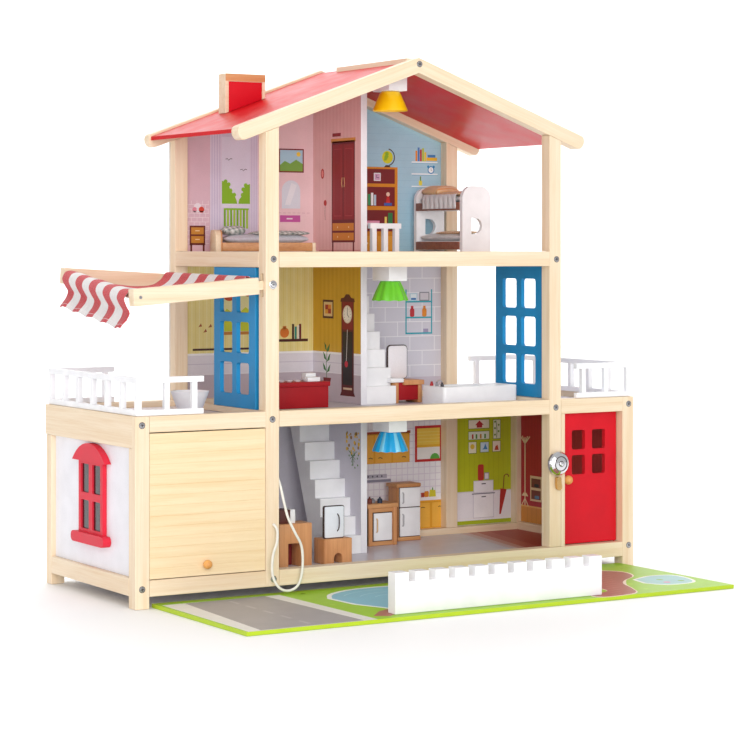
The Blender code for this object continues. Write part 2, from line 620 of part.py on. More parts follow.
def awning_frame(wood):
    """Two arms and two cross bars, a little racked. Each arm turns on a bolt in a slot of its post."""
    made = prism("awning_frame", wood, arm_body(AWNING_FRONT), "Y", *AWNING_FRONT_ARM, EASE)
    add_part(made, arm_body(AWNING_BACK), "Y", *AWNING_BACK_ARM)
    for arm, (low_y, high_y) in ((AWNING_FRONT, AWNING_FRONT_ARM), (AWNING_BACK, AWNING_BACK_ARM)):
        middle = (low_y + high_y) / 2
        add_part(made, arm_tongue(arm), "Y", middle - AWNING_TONGUE / 2, middle + AWNING_TONGUE / 2)
    for from_end, height, radius, sides in AWNING_BARS:
        ends = []
        for arm in (AWNING_FRONT, AWNING_BACK):
            bar = arm[0] - AWNING_BAR_IN
            distance = bar if from_end else INNER_BAR * bar / CLOTH_BAR
            ends.append(circle(arm_point(arm, distance, height), radius, sides))
        add_part(made, ends[0], "Y", AWNING_FRONT_ARM[1] - 0.002, AWNING_BACK_ARM[0] + 0.002, ends[1])
    add_part(made, circle(AWNING_PIVOT, 0.0018, 10), "Y", -0.0010, STICK - 0.0025)
    add_part(made, circle(AWNING_PIVOT, 0.0055, 16), "Y", -0.0020, -GAP)
    add_part(made, circle(AWNING_PIVOT, 0.0018, 10), "Y", BACK_FRONT + 0.0025, BACK_FRAME - 0.001)
    return move_origin(made, (AWNING_PIVOT[0], DEPTH / 2, AWNING_PIVOT[1]))


# the outer and the inner cross bar: at the arms' outer ends or not, height, radius, number of sides
# the cloth's section as (distance out, height over the arm), from the inner bar out over the
# outer bar, tucked in under it, and out again to the free edge


def cloth_spot(arm, distance, height):
    """A point of the cloth beside an arm. The part past the bar hangs straight down."""
    bar = arm[0] - AWNING_BAR_IN
    out = distance * bar / CLOTH_BAR if distance < CLOTH_BAR else distance - CLOTH_BAR + bar
    return (AWNING_PIVOT[0] - out, AWNING_PIVOT[1] - min(out, bar) * math.tan(arm[1]) + height)


def cloth_section(arm):
    """The closed outline of the cloth's section beside an arm."""
    route = [Vector(cloth_spot(arm, *point)) for point in CLOTH_ROUTE]
    upper = []
    lower = []
    for i, point in enumerate(route):
        along = (route[min(i + 1, len(route) - 1)] - route[max(i - 1, 0)]).normalized()
        across = Vector((-along.y, along.x)) * CLOTH_THICK / 2
        upper.append(tuple(point - across))
        lower.append(tuple(point + across))
    return upper + lower[::-1]


def awning_cloth(cotton):
    """The striped cloth: it sags between the bars and hangs over the outer one."""
    cloth = prism("awning_fabric", cotton, cloth_section(AWNING_FRONT), "Y",
                  AWNING_FRONT_ARM[1] + 0.0025, AWNING_BACK_ARM[0] - 0.0025, far=cloth_section(AWNING_BACK))
    return move_origin(cloth, (AWNING_PIVOT[0], DEPTH / 2, AWNING_PIVOT[1]))


def awning_slots():
    """The slots and bolt holes in the left main posts, where the arms' tongues turn."""
    low_z = AWNING_PIVOT[1] - 0.0160
    high_z = AWNING_PIVOT[1] + 0.0150
    for name, arm in (("main_post_front_left", AWNING_FRONT_ARM), ("main_post_back_left", AWNING_BACK_ARM)):
        middle = (arm[0] + arm[1]) / 2
        half = AWNING_TONGUE / 2 + GAP
        post = bpy.data.objects[name]
        cut_boxes(post, [((MAIN_LEFT - PAST, middle - half, low_z),
                          (MAIN_LEFT + 0.0170, middle + half, high_z))])
        start = -PAST if arm is AWNING_FRONT_ARM else BACK_FRONT + 0.0020
        end = STICK - 0.0020 if arm is AWNING_FRONT_ARM else BACK_FRAME + PAST
        cut_prisms(post, [circle(AWNING_PIVOT, 0.0018 + GAP, 10)], "Y", start, end)


# ---------------------------------------------------------------- railings and stairs
def band_outline(path):
    """The outline, from above, of a level bar along a straight or U-shaped path."""
    half = RAILING_BAR / 2
    if len(path) == 2:
        return rectangle((path[0][0], path[0][1] - half), (path[1][0], path[1][1] + half))
    (ax, ay), (bx, by), (cx, cy), (dx, dy) = path
    out = half if bx > ax else -half
    return [(ax, ay - half), (bx + out, by - half), (cx + out, cy + half), (dx, dy + half),
            (dx, dy - half), (cx - out, cy - half), (bx - out, by + half), (ax, ay + half)]


def railing(name, path, z, spots, white):
    """A bottom bar, a top bar and square balusters between them."""
    outline = band_outline(path)
    made = prism(name, white, outline, "Z", z, z + RAILING_BAR, EASE)
    half = RAILING_BAR / 2 - 0.0002
    balusters = bmesh.new()
    for x, y in spots:
        add_box(balusters, (x - half, y - half, z + RAILING_BAR / 2),
                (x + half, y + half, z + RAILING - RAILING_BAR / 2))
    boolean(made, "UNION", balusters)
    return add_part(made, outline, "Z", z + RAILING - RAILING_BAR, z + RAILING)


def terrace_railing(side, corner_x, end_x, white):
    """Three sides of a terrace. The balusters stand 45 mm apart along the side, 40 mm at its ends."""
    z = FIRST_Z + RAIL + GAP
    near = 0.007
    far = DEPTH - 0.007
    spots = [(corner_x, near + (far - near) * i / 6) for i in range(7)]
    inward = 0.040 if end_x > corner_x else -0.040
    spots += [(corner_x + inward * i, y) for y in (near, far) for i in (1, 2)]
    path = [(end_x, near), (corner_x, near), (corner_x, far), (end_x, far)]
    railing(f"{side}_terrace_railing", path, z, spots, white)


def railings(white):
    terrace_railing("left", 0.007, 0.100, white)
    terrace_railing("right", WIDTH - 0.007, 0.700, white)
    railing("attic_railing", [(0.441, 0.152), (0.493, 0.152)], ATTIC_FLOOR + GAP,
            [(x, 0.152) for x in (0.448, 0.467, 0.486)], white)


def staircase(name, x, front, floor_z, top_z, back_foot, white):
    """A stepped board that climbs towards the back, with a slanting rear edge."""
    rise = (top_z - floor_z) / STAIR_STEPS
    outline = [(front, floor_z)]
    for i in range(STAIR_STEPS):
        y = front + i * STAIR_TREAD
        outline += [(y, floor_z + (i + 1) * rise), (y + STAIR_TREAD, floor_z + (i + 1) * rise)]
    outline += [(outline[-1][0], top_z - rise), (back_foot, floor_z)]
    prism(name, white, outline, "X", x, x + STAIR_WIDTH)


def staircases(white):
    staircase("ground_stairs", CENTRE_X - PARTITION / 2 - GAP - STAIR_WIDTH, 0.148, GROUND_FLOOR + GAP,
              FIRST_FLOOR - SLAB - GAP, 0.200, white)
    staircase("first_floor_stairs", CENTRE_X + PARTITION / 2 + GAP, 0.1495, FIRST_FLOOR + GAP,
              ATTIC_FLOOR - SLAB - GAP, 0.200, white)


# ---------------------------------------------------------------- lamps, bunk bed, mat and fence
def lamp(name, top_z, block, colour):
    """A block under the ceiling with a thin conical shade below it."""
    low = top_z - block
    half = 0.015
    made = box(name, colour, (CENTRE_X - half, 0.055, low), (CENTRE_X + half, 0.100, top_z))
    profile = [(0.0, 0.001), (0.0130, 0.001), (0.0150, -0.0015), (0.0250, -0.0275), (0.0235, -0.0275),
               (0.0135, -0.0025), (0.0, -0.0025)]
    shade = bmesh.new()
    add_turned(shade, profile, (CENTRE_X, 0.0765, low), 20)
    return boolean(made, "UNION", shade)


def bunk_bed(white):
    """Two lying boards between two rounded end boards, each with a hand hole."""
    x = (0.590, 0.640)
    y = (0.135, 0.268)
    z = ATTIC_FLOOR + GAP
    made = box("bunk_bed", white, (x[0] + 0.001, y[0] + 0.003, z + 0.0115),
               (x[1] - 0.001, y[1] - 0.003, z + 0.0245))
    add_part(made, rectangle((x[0] + 0.001, z + 0.0695), (x[1] - 0.001, z + 0.0815)), "Y",
             y[0] + 0.003, y[1] - 0.003)
    radius = 0.018
    top = z + 0.105
    board = [(x[0], z), (x[1], z)] + arc((x[1] - radius, top - radius), radius, 0, 90, 4)
    board += arc((x[0] + radius, top - radius), radius, 90, 180, 4)
    add_part(made, board, "Y", y[0], y[0] + 0.007)
    add_part(made, board, "Y", y[1] - 0.007, y[1])
    hole = arc((0.6130, 0.4963), 0.0117, -90, 90, 6) + [(0.606, 0.508), (0.606, 0.4846)]
    return cut_prisms(made, [hole], "Y", y[0] - PAST, y[1] + PAST)


def play_fence(white):
    """A free-standing block with square notches along its top."""
    low = MAT_THICK + GAP
    top = low + FENCE_HEIGHT
    pitch = (FENCE_X[1] - FENCE_X[0] + FENCE_NOTCH[0]) / (FENCE_NOTCHES + 1)
    outline = [(FENCE_X[0], low), (FENCE_X[1], low), (FENCE_X[1], top)]
    for i in range(FENCE_NOTCHES, 0, -1):
        right = FENCE_X[0] + pitch * i
        left = right - FENCE_NOTCH[0]
        outline += [(right, top), (right, top - FENCE_NOTCH[1]), (left, top - FENCE_NOTCH[1]), (left, top)]
    outline.append((FENCE_X[0], top))
    prism("garden_fence", white, outline, "Y", *FENCE_Y, EASE)


def garden_mat(green):
    """The board in front of the house. Its rear edge lies under the sill, between the posts."""
    box("garden_mat", green, (0.028, -MAT_FRONT, 0.0), (0.779, LAP, MAT_THICK))


# ---------------------------------------------------------------- cord


def smooth(route, step):
    """Points about a step apart on a Catmull-Rom curve through the route."""
    given = [Vector(p) for p in route]
    given = [given[0] * 2 - given[1]] + given + [given[-1] * 2 - given[-2]]
    dense = []
    for a, b, c, d in zip(given, given[1:], given[2:], given[3:]):
        for k in range(12):
            t = k / 12
            dense.append(0.5 * (2 * b + (c - a) * t + (2 * a - 5 * b + 4 * c - d) * t ** 2
                                + (3 * b - a - 3 * c + d) * t ** 3))
    kept = [dense[0]]
    for point in dense:
        if (point - kept[-1]).length >= step:
            kept.append(point)
    return kept + [given[-2]]


def pull_cord(cotton):
    """The free loop of braided cord at the garage post."""
    curve = bpy.data.curves.new("pull_cord", "CURVE")
    curve.dimensions = "3D"
    curve.bevel_depth = CORD_RADIUS
    curve.bevel_resolution = 2
    curve.use_fill_caps = True
    points = smooth(CORD_ROUTE, 0.0080)
    line = curve.splines.new("POLY")
    line.points.add(len(points) - 1)
    for slot, point in zip(line.points, points):
        slot.co = (*point, 1.0)
    curve.materials.append(cotton)
    made = bpy.data.objects.new("pull_cord", curve)
    bpy.context.scene.collection.objects.link(made)
    made.parent = house_origin


# ---------------------------------------------------------------- the whole object
for old in list(bpy.data.objects):
    bpy.data.objects.remove(old, do_unlink=True)

house_origin = bpy.data.objects.new("house_origin", None)
bpy.context.scene.collection.objects.link(house_origin)
house_origin.location = (-(WIDTH - AWNING_REACH) / 2, -(DEPTH - MAT_FRONT) / 2, 0.0)

wood = material("natural_wood", (0.87, 0.75, 0.55), 0.5)
white = material("white_lacquer", (0.90, 0.90, 0.91), 0.4)
board = material("printed_board", (0.80, 0.78, 0.82), 0.5)
red = material("red_lacquer", (0.65, 0.02, 0.02), 0.25)
blue = material("blue_lacquer", (0.02, 0.25, 0.50), 0.4)
green = material("mat_green", (0.45, 0.60, 0.05), 0.5)
cotton = material("striped_cotton", (0.80, 0.10, 0.10), 0.8)
chrome = material("bell_chrome", (0.80, 0.80, 0.82), 0.15, 1.0)
brass = material("lever_brass", (0.80, 0.60, 0.30), 0.3, 1.0)
rope = material("cotton_cord", (0.90, 0.89, 0.85), 0.8)

posts_and_rails(wood)
side_rails(wood)
floors(board)
back_wall(board)
partitions(board)
wing_walls(board)
side_window(red)
roof(wood, red)
chimney(wood)
garage_door(wood)
front_door(red)
french_door("left", FRENCH_LEFT_X, blue)
french_door("right", FRENCH_RIGHT_X, blue)
door_jamb(wood)
bell(chrome, brass)
awning_frame(wood)
awning_cloth(cotton)
awning_slots()
railings(white)
staircases(white)
lamp("attic_lamp", APEX_Z - GABLE_DROP, 0.0213, material("yellow_plastic", (0.95, 0.60, 0.02), 0.4))
lamp("first_floor_lamp", ATTIC_FLOOR - SLAB - GAP, 0.0267, material("green_plastic", (0.20, 0.60, 0.05), 0.4))
lamp("ground_lamp", FIRST_FLOOR - SLAB - GAP, 0.0274, material("blue_plastic", (0.02, 0.40, 0.75), 0.4))
bunk_bed(white)
garden_mat(green)
play_fence(white)
pull_cord(rope)
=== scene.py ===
"""A wooden dollhouse with two wings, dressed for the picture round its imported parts.

Shapes are given in house coordinates: X runs right from the left wing's outer side, Y runs back
from the front face, Z runs up from the ground. Furniture is in metres, and prints are in
millimetres. Only the loose furniture, prints, screws, bedding and cloth are made here.
"""
import math
import random

import bmesh
import bpy
from mathutils import Matrix, Vector, noise


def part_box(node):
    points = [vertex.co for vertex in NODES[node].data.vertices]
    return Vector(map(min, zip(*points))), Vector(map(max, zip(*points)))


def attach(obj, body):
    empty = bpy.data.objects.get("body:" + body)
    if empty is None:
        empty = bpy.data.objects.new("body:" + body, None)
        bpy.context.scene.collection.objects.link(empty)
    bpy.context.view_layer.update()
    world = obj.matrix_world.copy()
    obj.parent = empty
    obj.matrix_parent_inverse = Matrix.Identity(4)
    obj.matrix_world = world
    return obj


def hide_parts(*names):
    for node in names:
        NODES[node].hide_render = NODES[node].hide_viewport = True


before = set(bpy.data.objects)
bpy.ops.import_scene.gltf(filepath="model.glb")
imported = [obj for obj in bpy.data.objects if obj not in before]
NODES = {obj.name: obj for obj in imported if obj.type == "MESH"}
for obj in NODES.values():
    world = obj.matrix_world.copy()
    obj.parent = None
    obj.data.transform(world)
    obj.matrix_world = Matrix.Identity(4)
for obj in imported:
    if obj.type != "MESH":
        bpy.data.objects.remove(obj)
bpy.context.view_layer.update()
ORIGIN = Vector(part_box("wing_post_front_left")[0])

MM = 0.001
CENTRE_X = 0.430                # ridge and partitions
APEX_Z = 0.7259
SLOPE = math.tan(math.radians(20))
GABLE_DROP = 0.0211             # upright height of a gable board
INK = 0.00002                   # thickness of one printed layer


# ---------------------------------------------------------------- materials
def linear(code):
    """The linear colour of a hex code."""
    parts = [int(code[i:i + 2], 16) / 255 for i in (0, 2, 4)]
    return [p / 12.92 if p <= 0.04045 else ((p + 0.055) / 1.055) ** 2.4 for p in parts] + [1.0]


def shade(code, factor):
    """A hex code's linear colour, made darker or lighter."""
    return [min(1.0, c * factor) for c in linear(code)[:3]] + [1.0]


class Look:
    """A Principled material, and the nodes that feed it."""

    def __init__(self, name, **sockets):
        self.made = bpy.data.materials.new(name)
        self.made.use_nodes = True
        self.tree = self.made.node_tree
        self.shader = self.tree.nodes["Principled BSDF"]
        for socket, value in sockets.items():
            self.shader.inputs[socket.replace("_", " ")].default_value = value

    def add(self, kind, inputs, out=0, **settings):
        node = self.tree.nodes.new("ShaderNode" + kind)
        for key, value in settings.items():
            setattr(node, key, value)
        for key, value in inputs.items():
            if isinstance(value, bpy.types.NodeSocket):
                self.tree.links.new(value, node.inputs[key])
            else:
                node.inputs[key].default_value = value
        return node.outputs[out]

    def feed(self, socket, value):
        self.tree.links.new(value, self.shader.inputs[socket])

    def place(self, varied=True):
        """Object coordinates, shifted for each object so that no two look alike."""
        coords = self.add("TexCoord", {}, "Object")
        if not varied:
            return coords
        chance = self.add("ObjectInfo", {}, "Random")
        shift = self.add("VectorMath", {0: chance, "Scale": 9.0}, operation="SCALE")
        return self.add("VectorMath", {0: coords, 1: shift}, operation="ADD")

    def stretch(self, vector, scale):
        return self.add("Mapping", {"Vector": vector, "Scale": scale})

    def noise(self, vector, scale, detail=3.0, rough=0.5):
        return self.add("TexNoise", {"Vector": vector, "Scale": scale, "Detail": detail, "Roughness": rough})

    def math(self, operation, a, b=0.0, c=0.0):
        return self.add("Math", {0: a, 1: b, 2: c}, operation=operation)

    def band(self, value, low, high, to_low=0.0, to_high=1.0):
        return self.add("MapRange", {"Value": value, "From Min": low, "From Max": high,
                                     "To Min": to_low, "To Max": to_high})

    def mix(self, factor, a, b, blend="MIX"):
        return self.add("Mix", {0: factor, 6: a, 7: b}, 2, data_type="RGBA", blend_type=blend)

    def bump(self, height, strength, distance):
        self.feed("Normal", self.add("Bump", {"Height": height, "Strength": strength, "Distance": distance}))


def along(axis, lengthwise, across):
    """Scales that draw a pattern out along one axis."""
    return [lengthwise if i == "XYZ".index(axis) else across for i in range(3)]


def wood(name, axis, light="F1DEC3", dark="DFBF94", sloped=False):
    """Pale maple: long soft streaks, fine pores, and a satin finish."""
    look = Look(name, Coat_Weight=0.12, Coat_Roughness=0.35)
    coords = look.place()
    if sloped:
        coords = look.place(False)
        parts = [look.add("SeparateXYZ", {0: coords}, i) for i in range(3)]
        out = look.math("ABSOLUTE", look.math("SUBTRACT", parts[0], ORIGIN.x + CENTRE_X))
        up = look.math("MULTIPLY_ADD", out, SLOPE, parts[2])
        coords = look.add("CombineXYZ", {0: out, 1: parts[1], 2: up})
    figure = look.noise(look.stretch(coords, along(axis, 5, 120)), 1.0, 4.0, 0.55)
    streaks = look.noise(look.stretch(coords, along(axis, 14, 700)), 1.0, 3.0, 0.6)
    pores = look.noise(look.stretch(coords, along(axis, 90, 2600)), 1.0, 2.0)
    tone = look.math("ADD", look.math("MULTIPLY", look.band(figure, 0.38, 0.70), 0.50),
                     look.math("MULTIPLY", look.band(streaks, 0.42, 0.75), 0.30))
    colour = look.mix(tone, linear(light), linear(dark))
    speck = look.math("MULTIPLY", look.band(pores, 0.62, 0.78), 0.22)
    look.feed("Base Color", look.mix(speck, colour, shade(dark, 0.62)))
    look.feed("Roughness", look.band(streaks, 0.3, 0.7, 0.42, 0.58))
    look.bump(look.math("ADD", streaks, look.math("MULTIPLY", pores, 0.5)), 0.18, 0.0003)
    return look.made


def lacquer(name, code, rough=0.32, coat=0.35, peel=0.10, wear_and_highlight_tint=1.25, gloss=0.5):
    """Sprayed paint on wood: slight mottling, orange peel, and edges paler in patches, partly rubbed wear and
    partly a painted highlight.
    """
    look = Look(name, Coat_Weight=coat, Coat_Roughness=rough * 0.6, Specular_IOR_Level=gloss)
    coords = look.place()
    cloud = look.noise(coords, 28.0, 4.0)
    fine = look.noise(coords, 700.0, 2.0)
    colour = look.mix(look.band(cloud, 0.3, 0.7), shade(code, 0.93), shade(code, 1.05))
    # edges found from the rounded normal get a lighter tint: rubbed wear and a painted highlight
    soft = look.add("Bevel", {"Radius": 0.0011}, samples=3)
    sharp = look.add("NewGeometry", {}, "Normal")
    facing = look.add("VectorMath", {0: soft, 1: sharp}, "Value", operation="DOT_PRODUCT")
    edge_patches = look.band(look.noise(coords, 160.0), 0.4, 0.7)
    edge_wear_and_highlight = look.math("MULTIPLY", look.band(facing, 0.97, 0.80), edge_patches)
    look.feed("Base Color", look.mix(look.math("MULTIPLY", edge_wear_and_highlight, 0.45), colour, shade(code, wear_and_highlight_tint)))
    look.feed("Roughness", look.band(cloud, 0.3, 0.7, rough * 0.85, rough * 1.15))
    look.bump(fine, peel, 0.0002)
    return look.made


def plain(name, code, rough=0.5, grain=420.0, metallic=0.0, strength=0.08, low=0.94, coat=0.0):
    """Printed paper, moulded plastic or plated metal, by its roughness and grain."""
    look = Look(name, Metallic=metallic, Coat_Weight=coat)
    coords = look.place()
    cloud = look.noise(coords, 35.0, 4.0)
    fine = look.noise(coords, grain, 3.0, 0.6)
    tone = look.math("ADD", look.math("MULTIPLY", cloud, 0.6), look.math("MULTIPLY", fine, 0.4))
    look.feed("Base Color", look.mix(look.band(tone, 0.35, 0.65), shade(code, low), shade(code, 1.03)))
    look.feed("Roughness", look.band(fine, 0.3, 0.7, rough * 0.9, rough * 1.1))
    look.bump(fine, strength, 0.0002)
    return look.made


def tiled(name, plane, code, grout, width, height, offset=0.5):
    """A printed tile or brick pattern on an upright wall."""
    look = Look(name)
    coords = look.place(False)
    parts = [look.add("SeparateXYZ", {0: coords}, i) for i in range(3)]
    flat = look.add("CombineXYZ", {0: parts[0] if plane == "Y" else parts[1], 1: parts[2]})
    pattern = {"Vector": flat, "Color1": linear(code), "Color2": shade(code, 0.97), "Mortar": linear(grout),
               "Scale": 1.0, "Mortar Size": 0.0007, "Brick Width": width, "Row Height": height,
               "Mortar Smooth": 0.2}
    colour = look.add("TexBrick", pattern, offset=offset, squash=1.0)
    fibre = look.noise(look.place(), 480.0)
    look.feed("Base Color", look.mix(look.band(fibre, 0.3, 0.7, 0.0, 0.10), colour, shade(code, 0.85)))
    look.feed("Roughness", look.band(fibre, 0.3, 0.7, 0.42, 0.55))
    look.bump(fibre, 0.08, 0.0002)
    return look.made


def woven(name, colour_of, thread=0.0007, rough=0.85):
    """Plain-woven cotton. colour_of(look, u, v) makes the dyed colour from the cloth's UV in metres."""
    look = Look(name, Roughness=rough, Sheen_Weight=0.25, Sheen_Roughness=0.5)
    uv = look.add("TexCoord", {}, "UV")
    u, v = (look.add("SeparateXYZ", {0: uv}, i) for i in range(2))
    warp = look.math("SINE", look.math("MULTIPLY", u, 2 * math.pi / thread))
    weft = look.math("SINE", look.math("MULTIPLY", v, 2 * math.pi / thread))
    weave = look.math("MULTIPLY", warp, weft)
    slub = look.noise(look.stretch(uv, (900, 90, 1)), 1.0, 3.0)
    dyed = colour_of(look, u, v)
    tone = look.math("ADD", look.band(weave, -1, 1, 0.0, 0.16), look.band(slub, 0.3, 0.7, 0.0, 0.14))
    look.feed("Base Color", look.mix(tone, dyed, [0.0, 0.0, 0.0, 1.0], "MIX"))
    look.bump(weave, 0.5, 0.0002)
    return look.made


def dye(code):
    """One colour for a woven cloth, a little uneven."""
    def colour(look, u, v):
        return look.mix(look.noise(look.place(), 50.0), shade(code, 0.96), shade(code, 1.04))
    return colour


def awning_stripes(look, u, v):
    """Red and white bands that run out from the house, with a stitched hem at the free edge."""
    band = look.math("FRACT", look.math("MULTIPLY_ADD", u, 1 / 0.05478, 0.5))
    edge = look.math("MULTIPLY", look.math("SUBTRACT", look.noise(look.place(), 900.0), 0.5), 0.03)
    red = look.math("GREATER_THAN", look.math("ADD", band, edge), 0.5)
    colour = look.mix(red, linear("F7F3F2"), linear("D5202F"))
    near = look.math("ABSOLUTE", look.math("SUBTRACT", v, CLOTH_LENGTH - 0.0055))
    stitch = look.math("MULTIPLY", look.math("LESS_THAN", near, 0.0004),
                       look.math("GREATER_THAN", look.math("FRACT", look.math("MULTIPLY", u, 400.0)), 0.35))
    return look.mix(stitch, colour, linear("FFFFFF"))


def checked(look, u, v):
    """Small grey-green and white checks, as on the pillow."""
    one = look.math("GREATER_THAN", look.math("FRACT", look.math("MULTIPLY", u, 150.0)), 0.5)
    two = look.math("GREATER_THAN", look.math("FRACT", look.math("MULTIPLY", v, 150.0)), 0.5)
    both = look.math("MULTIPLY", look.math("ADD", one, two), 0.5)
    return look.mix(both, linear("F2F3F0"), linear("8E9C95"))


def quilted(look, u, v):
    """Rows of orange and tan ribs, as on the knitted blanket."""
    rib = look.math("FRACT", look.math("MULTIPLY", v, 170.0))
    return look.mix(look.band(rib, 0.2, 0.8), linear("E9A565"), linear("F6D5A8"))


class Palette(dict):
    """Materials made when they are first asked for. A hex code gives that colour: mostly printed ink, and
    also the ground floor's painted reflection.
    """

    def __missing__(self, key):
        self[key] = plain(f"ink_{key}", key, 0.46, 520.0, strength=0.05)
        return self[key]


LOOKS = Palette()


def make_looks():
    LOOKS.update({
        "wood_x": wood("maple_x", "X"),
        "wood_y": wood("maple_y", "Y"),
        "wood_z": wood("maple_z", "Z"),
        "gable": wood("maple_gable", "X", sloped=True),
        "door_wood": wood("garage_door_maple", "X", "F4DDB6", "E6C692"),
        "knob_wood": wood("knob_beech", "Z", "EDAE62", "CE8238"),
        "brown_x": wood("beech_x", "X", "D9A06B", "B0703C"),
        "brown_z": wood("beech_z", "Z", "DDA06C", "B87642"),
        "dark_wood": wood("bunk_rail_wood", "X", "9A6350", "6E3F32"),
        "white": lacquer("white_paint", "F4F4F7", 0.36, 0.25),
        "red": lacquer("red_paint", "D41526", 0.38, 0.0, gloss=0.2),
        "window_red": lacquer("window_paint", "DA2C40", 0.38, 0.0, gloss=0.2),
        "roof_red": lacquer("roof_paint", "CE1219", 0.34, 0.0, 0.05, gloss=0.16),
        "blue": lacquer("blue_paint", "1F8CC6", 0.34, 0.0, gloss=0.25),
        "dark_red": lacquer("crimson_paint", "A81C24", 0.36, 0.0, gloss=0.25),
        "board": plain("white_board", "EDECF2", 0.45, 600.0),
        "back_board": plain("back_board", "E7E3DF", 0.55, 300.0, strength=0.15, low=0.9),
        "floor": plain("printed_floor", "D9D3DC", 0.38, 500.0, coat=0.15),
        "attic_floor": plain("attic_floor_print", "D8B9A0", 0.4, 500.0, coat=0.15),
        "tile": tiled("kitchen_tile_print", "Y", "F2F0F6", "DDD6E4", 0.0100, 0.0100, 0.0),
        "big_tile": tiled("bathroom_tile_print", "Y", "DAD8E3", "F3F2F7", 0.0440, 0.0220, 0.5),
        "big_tile_x": tiled("bathroom_tile_side", "X", "DAD8E3", "F3F2F7", 0.0440, 0.0220, 0.5),
        "tile_x": tiled("kitchen_tile_side", "X", "F2F0F6", "DDD6E4", 0.0100, 0.0100, 0.0),
        "chrome": plain("polished_chrome", "E6E6EA", 0.10, 900.0, 1.0, 0.03),
        "steel": plain("screw_steel", "B9BABF", 0.28, 900.0, 1.0, 0.2, 0.8),
        "brass": plain("lever_brass", "D8AE72", 0.25, 700.0, 1.0, 0.08, 0.85),
        "pane": plain("window_black", "150D10", 0.16, 600.0, strength=0.03, coat=0.3),
        # grey for the painted reflection streaks on the window panes
        "pane_painted_reflection": plain("window_painted_reflection", "2A2024", 0.16, 600.0, strength=0.03, coat=0.3),
        # dark for painted shade in gaps, slots and sockets, and for dark trim
        "dark": plain("dark_for_shaded_gaps_and_trim", "3A2A28", 0.6, 600.0),
        "rope": plain("cotton_rope", "F2EFE6", 0.85, 1400.0, strength=0.5, low=0.82),
        "yellow_shade": plain("yellow_moulding", "FBCB0A", 0.34, 900.0, strength=0.04, coat=0.3),
        "green_shade": plain("green_moulding", "6CCB2C", 0.34, 900.0, strength=0.04, coat=0.3),
        "blue_shade": plain("blue_moulding", "12A5E2", 0.34, 900.0, strength=0.04, coat=0.3),
        "pale_blue_shade": plain("pale_blue_moulding", "7FD0F0", 0.34, 900.0, strength=0.04, coat=0.3),
        "mat_edge": plain("mat_green", "B4CF1C", 0.42, 600.0),
        "stripes": woven("striped_cotton", awning_stripes),
        "checks": woven("checked_cotton", checked, 0.0005),
        "sheet": woven("white_cotton", dye("F1EFF1"), 0.0005),
        "lilac": woven("lilac_cotton", dye("DAD6E0"), 0.0005),
        "tan": woven("ribbed_wool", quilted, 0.0009),
    })


# ---------------------------------------------------------------- shape tools
def rectangle(low, high):
    return [low, (high[0], low[1]), high, (low[0], high[1])]


def arc(centre, radius, start, end, steps):
    turns = [math.radians(start + (end - start) * i / steps) for i in range(steps + 1)]
    return [(centre[0] + radius * math.cos(t), centre[1] + radius * math.sin(t)) for t in turns]


def disc(centre, radius, sides=24):
    return arc(centre, radius, 0, 360 - 360 / sides, sides - 1)


def rounded(low, high, radius, steps=4):
    corners = ((high[0] - radius, high[1] - radius), (low[0] + radius, high[1] - radius),
               (low[0] + radius, low[1] + radius), (high[0] - radius, low[1] + radius))
    outline = []
    for i, corner in enumerate(corners):
        outline += arc(corner, radius, 90 * i, 90 * i + 90, steps)
    return outline


def smooth(route, step):
    """Points about a step apart on a Catmull-Rom curve through the route."""
    given = [Vector(p) for p in route]
    given = [given[0] * 2 - given[1]] + given + [given[-1] * 2 - given[-2]]
    dense = []
    for a, b, c, d in zip(given, given[1:], given[2:], given[3:]):
        for k in range(12):
            t = k / 12
            dense.append(0.5 * (2 * b + (c - a) * t + (2 * a - 5 * b + 4 * c - d) * t ** 2
                                + (3 * b - a - 3 * c + d) * t ** 3))
    kept = [dense[0]]
    for point in dense:
        if (point - kept[-1]).length >= step:
            kept.append(point)
    return kept + [given[-2]]


